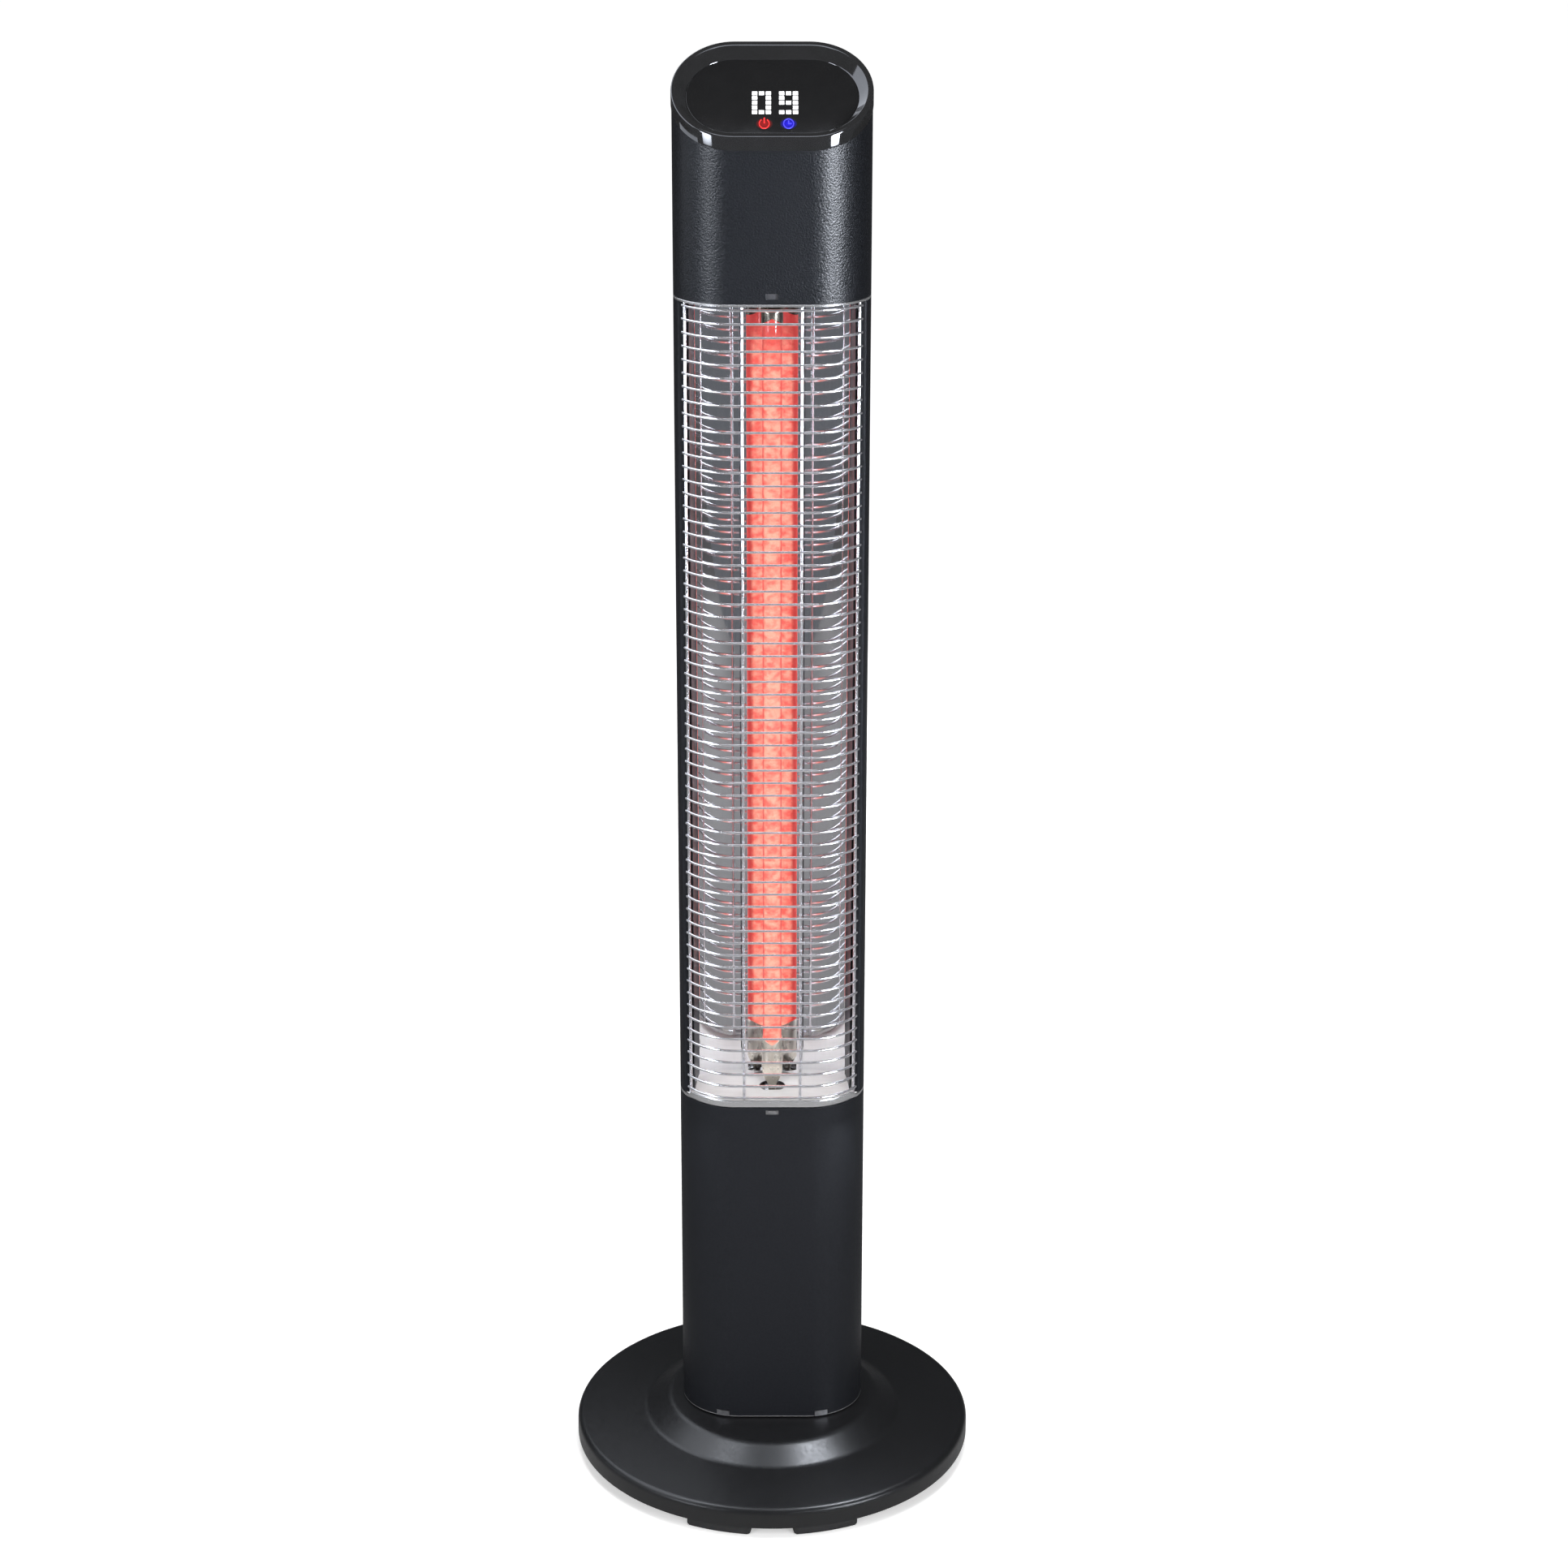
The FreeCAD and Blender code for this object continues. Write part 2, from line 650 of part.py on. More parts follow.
# Column: the foot that turns in the bush, and the tube that stands on it
def build_column():
    front_y = "-tower_depth / 2 + tab_depth / 2"
    plate = prism("foot_blank", [("inner_width", "inner_depth")], "column_bottom", "foot_plate")
    hub = rod("foot_hub", "hub_radius", "hub_drop", "0", "0", "hub_bottom")
    tabs = []
    notches = []
    for side, sign in SIDES:
        x = "%s * tab_x" % sign
        tabs.append(box("foot_tab_" + side, "tab_width", "tab_depth", "tab_height", x, front_y, "column_bottom"))
        notches.append(box("tube_notch_" + side, "tab_width + clearance * 2", "tab_depth",
                           "tab_height + clearance", x, front_y, "column_bottom"))
    outline = prism("tab_outline", [("tower_width", "tower_depth")], "column_bottom", "tab_height")
    tab_pair = common("foot_tabs", fuse("foot_tab_boxes", *tabs), outline)
    bore = rod("foot_bore", "hub_bore", "hub_drop + foot_plate", "0", "0", "hub_bottom")
    screw_ring = "(hub_radius + hub_bore) / 2"
    sockets = [rod("foot_socket_" + side, "screw_radius", "screw_length", x, y, "gear_bottom")
               for side, x, y in [("front", "0", "-" + screw_ring), ("back", "0", screw_ring),
                                  ("left", "-" + screw_ring, "0"), ("right", screw_ring, "0")]]
    screw_z = ["column_bottom + column_screw_inset", "window_bottom - column_screw_inset"]
    foot_holes = [rod("foot_hole_" + side, "screw_radius", "screw_length", "%s * column_screw_x" % sign,
                      "tower_depth / 2 - screw_length", screw_z[0], "Y") for side, sign in SIDES]
    part("column_foot", cut("column_foot", fuse("foot_body", plate, hub, tab_pair), bore, *(sockets + foot_holes)))
    tube = obround_ring("column_blank", "0", "wall", "column_bottom", "column_height")
    slot = box("column_slot", "slot_width", "wall * 2", "slot_height", "0", "-tower_depth / 2 + wall / 2",
               "window_bottom - slot_drop / 2 - slot_height")
    tube_holes = []
    screws = []
    for level, height in enumerate(screw_z):
        for side, sign in SIDES:
            name = "%s_%d" % (side, level)
            x = "%s * column_screw_x" % sign
            start = "tower_depth / 2 - screw_length"
            tube_holes.append(rod("tube_hole_" + name, "screw_radius", "screw_length", x, start, height, "Y"))
            shank = rod("column_shank_" + name, "screw_radius", "screw_length", x, start, height, "Y")
            head = rod("column_head_" + name, "screw_head_radius", "screw_head_height", x, "tower_depth / 2",
                       height, "Y")
            screws.append(fuse("column_screw_" + name, shank, head))
    part("column_tube", cut("column_tube", tube, slot, *(notches + tube_holes)))
    part("column_screws", group("column_screws", *screws))


def panel_piece(label, plate_bottom, flange_bottom, slot_bottom, tongue_y, extras, extra_cuts):
    """A panel across the tower with a flange inside the next tube and a tongue in its slot."""
    plate = prism(label + "_plate", [("tower_width", "tower_depth")], plate_bottom, "panel")
    flange = obround_ring(label + "_flange", "wall + clearance", "flange_wall", flange_bottom, "flange_height")
    tongue = box(label + "_tongue", "tongue_width", "wall + flange_wall", "tongue_height", "0", tongue_y,
                 "%s + (slot_height - tongue_height) / 2" % slot_bottom)
    lamp_hole = rod(label + "_lamp_hole", "lamp_hole", "panel", "0", "lamp_y", plate_bottom)
    loom_hole = rod(label + "_loom_hole", "loom_radius + clearance + grommet_wall", "panel", "0", "loom_y",
                    plate_bottom)
    body = fuse(label + "_body", plate, flange, tongue, *extras)
    return part(label, cut(label, body, lamp_hole, loom_hole, *extra_cuts))


# Heater box: floor, ceiling, rear shell and mirror
def build_heater_box():
    tongue_y = "-tower_depth / 2 + wall - (wall - flange_wall) / 2 + clearance"
    lip = obround_ring("floor_lip_ring", "0", "flange_wall", "floor_top", "rim_lip")
    front = box("floor_lip_front", "tower_width * 2", "tower_depth", "rim_lip", "0",
                "-tower_depth / 2 - shell_front - hoop_end_y / 2", "floor_top")
    screw_holes = [rod("floor_hole_" + side, "screw_radius", "screw_length", "%s * column_screw_x" % sign,
                       "tower_depth / 2 - screw_length", "window_bottom - column_screw_inset", "Y")
                   for side, sign in SIDES]
    panel_piece("heater_floor", "window_bottom", "window_bottom - flange_height",
                "window_bottom - slot_drop / 2 - slot_height", tongue_y, [common("floor_lip", lip, front)],
                screw_holes)
    panel_piece("heater_ceiling", "ceiling_bottom", "window_top", "window_top + slot_drop", tongue_y, [], [])
    ring = obround_ring("shell_ring", "0", "shell_wall", "floor_top", "box_height")
    opening = box("shell_opening", "tower_width * 2", "tower_depth", "box_height", "0",
                  "-tower_depth / 2 - shell_front", "floor_top")
    shell = cut("shell_back", ring, opening)
    lips = [box("shell_lip_" + side, "lip_width", "shell_wall", "box_height",
                "%s * (shell_edge_x - lip_width / 2)" % sign, "-shell_front + shell_wall / 2", "floor_top")
            for side, sign in SIDES]
    part("rear_shell", fuse("rear_shell", shell, *lips))
    part("reflector", solid_feature("reflector", mirror_sheet()))


def mirror_sheet():
    """The folded mirror: a shallow V behind the lamp, a step, and a bowed wing on each side."""
    edge_y = -number("shell_front") + number("shell_wall") + number("mirror_edge_gap")
    apex = Vector(0, number("mirror_apex_y"), 0)
    fold = Vector(number("mirror_fold_x"), number("mirror_fold_y"), 0)
    step = Vector(number("mirror_step_x"), number("mirror_step_y"), 0)
    bow = Vector(number("mirror_bow_x"), number("mirror_bow_y"), 0)
    edge = Vector(number("mirror_edge_x"), edge_y, 0)
    right = [Part.LineSegment(apex, fold).toShape(), Part.LineSegment(fold, step).toShape(),
             Part.Arc(step, bow, edge).toShape()]
    left = [item.mirror(Vector(0, 0, 0), Vector(1, 0, 0)) for item in right]
    path = Part.Wire(Part.__sortEdges__(left + right))
    sheet_face = path.makeOffset2D(number("mirror_sheet"), join=2, fill=True, openResult=True)
    sheet_face.translate(Vector(0, 0, number("floor_top")))
    return sheet_face.extrude(Vector(0, 0, number("box_height")))


# Lamp: glass tube, glowing element, end caps with flat tangs, ceramic holders
def lamp_cap(label, socket_start, barrel_bottom, barrel_height, tang_bottom, tang_height, hole_z):
    barrel = rod(label + "_barrel", "cap_radius", barrel_height, "0", "lamp_y", barrel_bottom)
    tang = box(label + "_tang", "cap_radius * 2", "tang_thickness", tang_height, "0", "lamp_y", tang_bottom)
    socket = rod(label + "_socket", "lamp_radius + running_gap", "cap_socket", "0", "lamp_y", socket_start)
    hole = rod(label + "_hole", "tang_hole", "tang_thickness * 2", "0", "lamp_y - tang_thickness", hole_z, "Y")
    part(label, cut(label, fuse(label + "_body", barrel, tang), socket, hole))


def lamp_holder(label, bottom, slot_bottom):
    block = rod(label + "_block", "holder_radius", "holder_height", "0", "lamp_y", bottom)
    slot = box(label + "_slot", "cap_radius * 2 + clearance", "tang_thickness + clearance", "tang_depth",
               "0", "lamp_y", slot_bottom)
    part(label, cut(label, block, slot))


def build_lamp():
    length = "element_top - (element_bottom)"
    glass = rod("glass_outer", "lamp_radius", length, "0", "lamp_y", "element_bottom")
    hollow = rod("glass_inner", "lamp_radius - lamp_glass", length, "0", "lamp_y", "element_bottom")
    part("lamp_tube", cut("lamp_tube", glass, hollow))
    part("lamp_element", rod("lamp_element", "element_radius", length, "0", "lamp_y", "element_bottom"))
    throat = "floor_top + cap_throat"
    lamp_cap("lamp_cap_lower", "element_bottom", throat, "lower_cap_reach - cap_throat",
             "window_bottom - tang_depth", "tang_depth + panel + cap_throat", "floor_top + cap_throat / 2")
    lamp_holder("lamp_holder_lower", "window_bottom - holder_height", "window_bottom - tang_depth")
    upper_throat = "ceiling_bottom - cap_throat / 2"
    lamp_cap("lamp_cap_upper", "upper_cap_bottom", "upper_cap_bottom", "upper_cap_reach - cap_throat / 2",
             upper_throat, "cap_throat / 2 + panel + tang_depth", "window_top - panel")
    lamp_holder("lamp_holder_upper", "window_top", "window_top")


# Guard grille: bent hoops welded to upright rods
def hoop_path():
    bend = number("hoop_bend")
    corner = number("corner_x")
    end_y = number("hoop_end_y")
    end_x = corner + math.sqrt(bend ** 2 - end_y ** 2)
    end_angle = math.asin(end_y / bend)
    mid_angle = (end_angle + math.pi / 2) / 2
    mid = Vector(corner + bend * math.cos(mid_angle), -bend * math.sin(mid_angle), 0)
    right = Part.Arc(Vector(end_x, -end_y, 0), mid, Vector(corner, -bend, 0))
    left = Part.Arc(Vector(-corner, -bend, 0), Vector(-mid.x, mid.y, 0), Vector(-end_x, -end_y, 0))
    front = Part.LineSegment(Vector(corner, -bend, 0), Vector(-corner, -bend, 0))
    return Part.Wire([right.toShape(), front.toShape(), left.toShape()])


def build_grille():
    path = hoop_path()
    start = path.Edges[0]
    along = start.tangentAt(start.FirstParameter)
    section = Part.Wire(Part.makeCircle(number("hoop_radius"), start.valueAt(start.FirstParameter), along))
    hoop = path.makePipeShell([section], True, False)
    hoops = []
    for index in range(int(number("hoop_count"))):
        hoops.append(hoop.translated(Vector(0, 0, number("hoop_low") + index * number("hoop_pitch"))))
    part("grille_hoops", solid_feature("grille_hoops", Part.makeCompound(hoops)))
    end_x = "corner_x + rod_bend * sqrt(hoop_bend^2 - hoop_end_y^2) / (hoop_bend)"
    end_y = "-(rod_bend) * hoop_end_y / (hoop_bend)"
    rods = []
    for side, sign in SIDES:
        rods.append(rod("front_rod_" + side, "rod_radius", "box_height", "%s * rod_x" % sign, "-(rod_bend)",
                        "floor_top"))
        rods.append(rod("end_rod_" + side, "rod_radius", "box_height", "%s * (%s)" % (sign, end_x), end_y,
                        "floor_top"))
    part("grille_rods", group("grille_rods", *rods))


# Wiring inside the tower
def build_wiring():
    loom_bottom = "column_bottom + foot_plate"
    part("wiring_loom", rod("wiring_loom", "loom_radius", "control_bottom - (%s)" % loom_bottom, "0", "loom_y",
                            loom_bottom))
    grommets = []
    for name, middle in [("floor", "window_bottom + panel / 2"), ("ceiling", "window_top - panel / 2")]:
        bottom = "%s - grommet_height / 2" % middle
        ring = rod("grommet_ring_" + name, "loom_radius + clearance + grommet_wall", "grommet_height", "0", "loom_y",
                   bottom)
        hole = rod("grommet_hole_" + name, "loom_radius + clearance", "grommet_height", "0", "loom_y", bottom)
        grommets.append(cut("grommet_" + name, ring, hole))
    part("loom_grommets", group("loom_grommets", *grommets))


# Top: housing, bezel ring, lens, display and boards
def funnel(name):
    """The sloping cut from the bezel's ridge down to the lens."""
    slope = math.radians(number("top_slope"))
    normal = Vector(0, -math.sin(slope), math.cos(slope))
    ridge = Vector(0, -number("tower_depth") / 2, number("bezel_front"))
    wires = []
    ridge_size = ("tower_width - bezel_ridge * 2", "tower_depth - bezel_ridge * 2")
    for (width, depth), drop in [(ridge_size, "0"), (("lens_width", "lens_depth"), "lens_drop")]:
        bend = number(depth) / 2
        reach = (number(width) - number(depth)) / 2
        tall = number("tower_depth") * 4
        low = Vector(-reach, -bend, number("bezel_front") - tall / 2)
        block = Part.makeBox(reach * 2, bend * 2, tall, low)
        for x in (-reach, reach):
            block = block.fuse(Part.makeCylinder(bend, tall, Vector(x, 0, low.z)))
        point = ridge - Vector(0, 0, number(drop))
        wires.append(block.removeSplitter().slice(normal, normal.dot(point))[0])
    return solid_feature(name, Part.makeLoft(wires, True, True))


def build_top():
    blank = obround_ring("housing_blank", "0", "wall", "window_top", "housing_front_height + tower_depth")
    above = slab("housing_trim", "-tower_depth * 2", "bezel_height")
    slot = box("housing_slot", "upper_slot_width", "wall * 2", "slot_height", "0", "-tower_depth / 2 + wall / 2",
               "window_top + slot_drop")
    part("upper_housing", cut("upper_housing", blank, above, slot))
    lens_hole = ("lens_width", "lens_depth")
    ledge = ("lens_width - lens_ledge * 2", "lens_depth - lens_ledge * 2")
    outer = ("tower_width + bezel_overhang * 2", "tower_depth + bezel_overhang * 2")
    collar = slanted("bezel_collar", [outer, ledge], "0", "bezel_height")
    skirt = slanted("bezel_skirt", [("inner_width", "inner_depth"), ledge], "bezel_height", "board_drop")
    recess = slanted("bezel_recess", [lens_hole], "-overrun", "lens_bottom_drop")
    part("bezel_ring", cut("bezel_ring", fuse("bezel_body", collar, skirt), recess, funnel("bezel_funnel")))
    lens_size = ("lens_width - clearance * 2", "lens_depth - clearance * 2")
    part("display_lens", slanted("display_lens", [lens_size], "lens_drop", "lens_bottom_drop"))
    board_size = ("inner_width - board_margin * 2", "inner_depth - board_margin * 2")
    part("display_board", slanted("display_board", [board_size], "board_drop", "board_bottom_drop"))
    digits = []
    for name, x in [("left", "digit_left_x"), ("right", "digit_right_x")]:
        upright = box("digit_upright_" + name, "digit_width", "digit_depth", "tower_depth * 2", x, "digit_y",
                      "bezel_front - tower_depth")
        digits.append(common("digit_" + name, upright, slab("digit_slab_" + name, "lens_bottom_drop + clearance",
                                                           "board_drop")))
    part("led_digits", group("led_digits", *digits))
    eye = box("receiver_upright", "receiver_size", "receiver_size", "tower_depth * 2", "receiver_x", "receiver_y",
              "bezel_front - tower_depth")
    part("remote_receiver", common("remote_receiver", eye, slab("receiver_slab", "lens_bottom_drop + clearance",
                                                               "board_drop")))
    build_boards()


def build_boards():
    board = prism("control_blank", [("control_width", "control_depth")], "control_bottom", "board_thickness")
    spots = []
    for x in ("-standoff_x", "standoff_x"):
        for y in ("-standoff_y", "standoff_y"):
            spots.append((x, y))
    holes = [rod("control_hole_%d" % index, "screw_radius", "board_thickness", x, y, "control_bottom")
             for index, (x, y) in enumerate(spots)]
    part("control_board", cut("control_board", board, *holes))
    pillars = []
    screws = []
    for index, (x, y) in enumerate(spots):
        pillar = rod("pillar_%d" % index, "standoff_radius", "standoff_height", x, y, "window_top")
        thread = rod("pillar_thread_%d" % index, "screw_radius", "screw_length", x, y,
                     "control_top - screw_length")
        pillars.append(cut("standoff_%d" % index, pillar, thread))
        screws.append(screw("board_screw_%d" % index, x, y, "control_top", False))
    part("board_standoffs", group("board_standoffs", *pillars))
    part("board_screws", group("board_screws", *screws))
    part("relay", box("relay", "relay_length", "relay_width", "relay_height", "relay_x", "0", "control_top"))
    fins = [box("sink_foot", "sink_length", "sink_width", "sink_base", "sink_x", "0", "control_top")]
    for index in range(int(number("fin_count"))):
        step = "(sink_length - fin_thickness) * %d / (fin_count - 1)" % index
        x = "sink_x - sink_length / 2 + fin_thickness / 2 + " + step
        fins.append(box("fin_%d" % index, "fin_thickness", "sink_width", "sink_height", x, "0", "control_top"))
    part("heat_sink", fuse("heat_sink", *fins))
    part("thermal_cutout", rod("thermal_cutout", "cutout_radius", "cutout_height", "cutout_x", "lamp_y",
                               "window_top"))


build_base_cover()
build_base_plate()
build_base_feet()
build_base_inside()
build_swing_drive()
build_tip_switch()
build_column()
build_heater_box()
build_lamp()
build_grille()
build_wiring()
build_top()
doc.recompute()

# Nothing is written unless every object is sound
for item in doc.Objects:
    if "Invalid" in item.State or "Error" in item.State:
        raise RuntimeError("%s did not recompute: %s" % (item.Label, item.State))
for item in SUBPARTS:
    if item.Shape.isNull() or not item.Shape.isValid() or not item.Shape.Solids:
        raise RuntimeError("%s has no sound solid" % item.Label)
for item in SUBPARTS:
    item.Shape.exportStep("parts/%s.step" % item.Label)
    print("%-20s %3d solids %12.1f mm3" % (item.Label, len(item.Shape.Solids), item.Shape.Volume))
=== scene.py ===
# %% [markdown]
# # An infrared patio heater
# The heater is an obround tower on a round base. Its metal and plastic parts were drawn as solids
# first, and this lesson dresses them: it builds a smooth mesh for every piece that shows, gives
# each piece a finish made of shader nodes, and lights the whole like a catalogue picture.
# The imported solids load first. They give the places, and every new piece rides on one of their
# bodies, so that it turns when the tower swings.

# %% Load the solids
import bpy
from math import asin, atan2, copysign, cos, degrees, hypot, pi, radians, sin, tan
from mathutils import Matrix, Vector


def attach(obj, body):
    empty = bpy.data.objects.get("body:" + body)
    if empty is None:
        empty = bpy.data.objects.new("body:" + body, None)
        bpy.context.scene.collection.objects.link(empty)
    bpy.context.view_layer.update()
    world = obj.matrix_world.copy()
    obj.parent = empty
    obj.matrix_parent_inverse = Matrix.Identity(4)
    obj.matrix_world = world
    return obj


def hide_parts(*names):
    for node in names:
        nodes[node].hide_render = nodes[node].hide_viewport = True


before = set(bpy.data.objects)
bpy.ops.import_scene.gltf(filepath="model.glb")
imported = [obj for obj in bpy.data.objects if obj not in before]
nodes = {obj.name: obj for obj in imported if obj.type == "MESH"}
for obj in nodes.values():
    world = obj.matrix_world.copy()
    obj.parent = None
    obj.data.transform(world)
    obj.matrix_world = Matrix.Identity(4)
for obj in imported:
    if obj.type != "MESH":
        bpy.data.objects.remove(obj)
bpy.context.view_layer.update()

MM = 0.001

# %% [markdown]
# ## The camera
# The picture was taken from a little above the heater's head with a long lens, so uprights stay
# almost parallel. A camera in Blender is placed by its location, its tilt and its lens. The small
# shift stands for a crop: the heater isn't centred on the lens axis, and a shift moves the frame
# without bending the verticals as a tilt would.

# %% Camera
def put(name, data):
    """A new object with some data, linked into the scene."""
    item = bpy.data.objects.new(name, data)
    bpy.context.collection.objects.link(item)
    return item


IMAGE = 1932
FOCAL_PIXELS = 3900
SENSOR = 36
AXIS_PIXEL = (951.4, 870)
CAMERA_PLACE = (0, -2.5333, 1.5013)
CAMERA_TILT = 0.3089885
optics = bpy.data.cameras.new("camera")
optics.sensor_width = SENSOR
optics.lens = FOCAL_PIXELS * SENSOR / IMAGE
optics.shift_x = (IMAGE / 2 - AXIS_PIXEL[0]) / IMAGE
optics.shift_y = (AXIS_PIXEL[1] - IMAGE / 2) / IMAGE
optics.clip_end = 200
camera = put("camera", optics)
camera.location = CAMERA_PLACE
camera.rotation_euler = (pi / 2 - CAMERA_TILT, 0, 0)
bpy.context.scene.camera = camera
bpy.context.scene.view_settings.view_transform = "Standard"
print("lens %.2f mm," % optics.lens, "shift", optics.shift_x, optics.shift_y)

# %% [markdown]
# ## Nodes
# Every look in this lesson is a small graph of shader nodes. A node has sockets, and a socket takes
# either a value or a link from another node. One helper fills sockets with whichever it is given.
# Three more make the nodes that come often: one maps a value from one range to another, one works
# out a number from two others, and one blends two colours.

# %% Helpers for nodes
def fill(node, sockets):
    """Gives sockets of a node a value each, or a link where it comes out of another node."""
    for name, value in sockets.items():
        socket = node.inputs[name]
        if isinstance(value, bpy.types.NodeSocket):
            node.id_data.links.new(value, socket)
        else:
            socket.default_value = (*value, 1) if socket.type == "RGBA" else value


def add_node(tree, kind, sockets=None):
    node = tree.nodes.new(kind)
    fill(node, sockets or {})
    return node


def vary(tree, source, low, high, start=0.3, end=0.7, curve="LINEAR"):
    """Maps a value from the range start to end onto the range low to high."""
    spread = tree.nodes.new("ShaderNodeMapRange")
    spread.interpolation_type = curve
    fill(spread, {"Value": source, "From Min": start, "From Max": end,
                  "To Min": low, "To Max": high})
    return spread.outputs["Result"]


def combine(tree, operation, first, second):
    """A number worked out from two others, such as their product."""
    sums = tree.nodes.new("ShaderNodeMath")
    sums.operation = operation
    fill(sums, {0: first, 1: second})
    return sums.outputs[0]


def blend(tree, share, start, end):
    """A colour between two others, by a share from 0 to 1."""
    tint = tree.nodes.new("ShaderNodeMix")
    tint.data_type = "RGBA"
    fill(tint, {"Factor": share, "A": start, "B": end})
    return tint.outputs["Result"]


print("helpers for nodes ready")

# %% [markdown]
# ## Room and floor
# A catalogue picture has a white sweep behind the object and a darker studio in front of it, where
# the camera stands. Black gloss needs both: a white room all round would turn it grey. The world
# here is white to the camera and dim to reflections, more so overhead. The floor is a pale matt
# plane that takes the shadow. Away from the heater it has some light of its own, so that it is
# white there without more light on the heater. To reflections it is dim, like a dark cloth laid
# before the object.

# %% World
def room_light(tree):
    way = add_node(tree, "ShaderNodeTexCoord").outputs["Generated"]
    parts = add_node(tree, "ShaderNodeSeparateXYZ", {0: way}).outputs
    depth = vary(tree, parts["Y"], 0.16, 0.07, -0.15, 0.75, "SMOOTHSTEP")
    height = vary(tree, parts["Z"], 1, 0.08, 0.45, 0.85, "SMOOTHSTEP")
    glow = combine(tree, "MULTIPLY", depth, height)
    kind = "ShaderNodeBackground"
    reflected = add_node(tree, kind, {"Color": (0.76, 0.8, 0.88), "Strength": glow})
    ambient = add_node(tree, kind, {"Strength": 0.38})
    white = add_node(tree, kind, {"Color": (1, 1, 1), "Strength": 1})
    ray = add_node(tree, "ShaderNodeLightPath").outputs
    mirrored = combine(tree, "MAXIMUM", ray["Is Glossy Ray"], ray["Is Transmission Ray"])
    kind = "ShaderNodeMixShader"
    lit = add_node(tree, kind, {0: mirrored, 1: ambient.outputs[0], 2: reflected.outputs[0]})
    seen = add_node(tree, kind, {0: ray["Is Camera Ray"], 1: lit.outputs[0], 2: white.outputs[0]})
    add_node(tree, "ShaderNodeOutputWorld", {0: seen.outputs[0]})


world = bpy.data.worlds.new("room")
bpy.context.scene.world = world
world.use_nodes = True
world.node_tree.nodes.clear()
room_light(world.node_tree)
print("world made:", world.name)

# %% Floor
REACH, FRONT, SINK = 40, -2.45, 0.0003


def pale_matt(tree):
    ray = add_node(tree, "ShaderNodeLightPath").outputs
    where = add_node(tree, "ShaderNodeTexCoord").outputs["Object"]
    length = tree.nodes.new("ShaderNodeVectorMath")
    length.operation = "LENGTH"
    fill(length, {0: where})
    far = length.outputs["Value"]
    cloth = vary(tree, far, 0.75, 1, 0.24, 0.38)
    dimmed = combine(tree, "MULTIPLY", cloth, ray["Is Glossy Ray"])
    shade = blend(tree, dimmed, (0.86, 0.86, 0.86), (0.16, 0.16, 0.165))
    matt = add_node(tree, "ShaderNodeBsdfDiffuse", {"Color": shade})
    own_light = vary(tree, far, 0.35, 0.75, 0.3, 3.5, "SMOOTHSTEP")
    strength = combine(tree, "MULTIPLY", ray["Is Camera Ray"], own_light)
    glow = add_node(tree, "ShaderNodeEmission", {"Strength": strength})
    both = add_node(tree, "ShaderNodeAddShader", {0: matt.outputs[0], 1: glow.outputs[0]})
    add_node(tree, "ShaderNodeOutputMaterial", {0: both.outputs[0]})


finish = bpy.data.materials.new("pale_floor")
finish.use_nodes = True
finish.node_tree.nodes.clear()
pale_matt(finish.node_tree)
corners = [(-REACH, FRONT, 0), (REACH, FRONT, 0), (REACH, REACH, 0), (-REACH, REACH, 0)]
mesh = bpy.data.meshes.new("floor")
mesh.from_pydata(corners, [], [(0, 1, 2, 3)])
mesh.materials.append(finish)
floor = put("floor", mesh)
floor.location.z = -SINK
print("floor reaches, metres:", REACH)

# %% [markdown]
# ## Lights
# Two tall soft boxes stand in front, left and right of the camera, a third hangs above, a fourth
# lights the back, and a small fill reaches the tray under the lamp. Other lamps only show in
# reflections, as a photographer sets white cards to draw a long upright streak on a black corner,
# or a soft patch on the slope of the base's ring. Those on the right are stronger. The two upright
# strips have a narrow spread, so that they reach the head but not the base. All are area lights,
# and their ray visibility makes boxes or cards of them.

# %% Soft boxes
def soft_box(name, place, aim, width, height, watts):
    data = bpy.data.lights.new(name, "AREA")
    data.shape = "RECTANGLE"
    data.size, data.size_y, data.energy = width, height, watts
    lamp = put(name, data)
    lamp.location = place
    lamp.rotation_euler = (Vector(aim) - Vector(place)).to_track_quat("-Z", "Y").to_euler()
    lamp.visible_camera = False
    return lamp


BOXES = [("box_right", (1.5, -2.15, 1.4), (0, 0, 0.85), 0.9, 1.5, 52),
         ("box_left", (-1.5, -2.15, 1.4), (0, 0, 0.85), 0.9, 1.5, 44),
         ("box_above", (0, -0.2, 3.1), (0, -0.1, 0), 1.3, 0.6, 46),
         ("box_behind", (0.9, 2.3, 0.62), (0, 0, 0.66), 1, 1, 26),
         ("tray_fill", (0, -0.45, 0.75), (0, -0.01, 0.348), 0.3, 0.2, 2.2)]
for box in BOXES:
    soft_box(*box).visible_glossy = False
print("soft boxes:", [box[0] for box in BOXES])

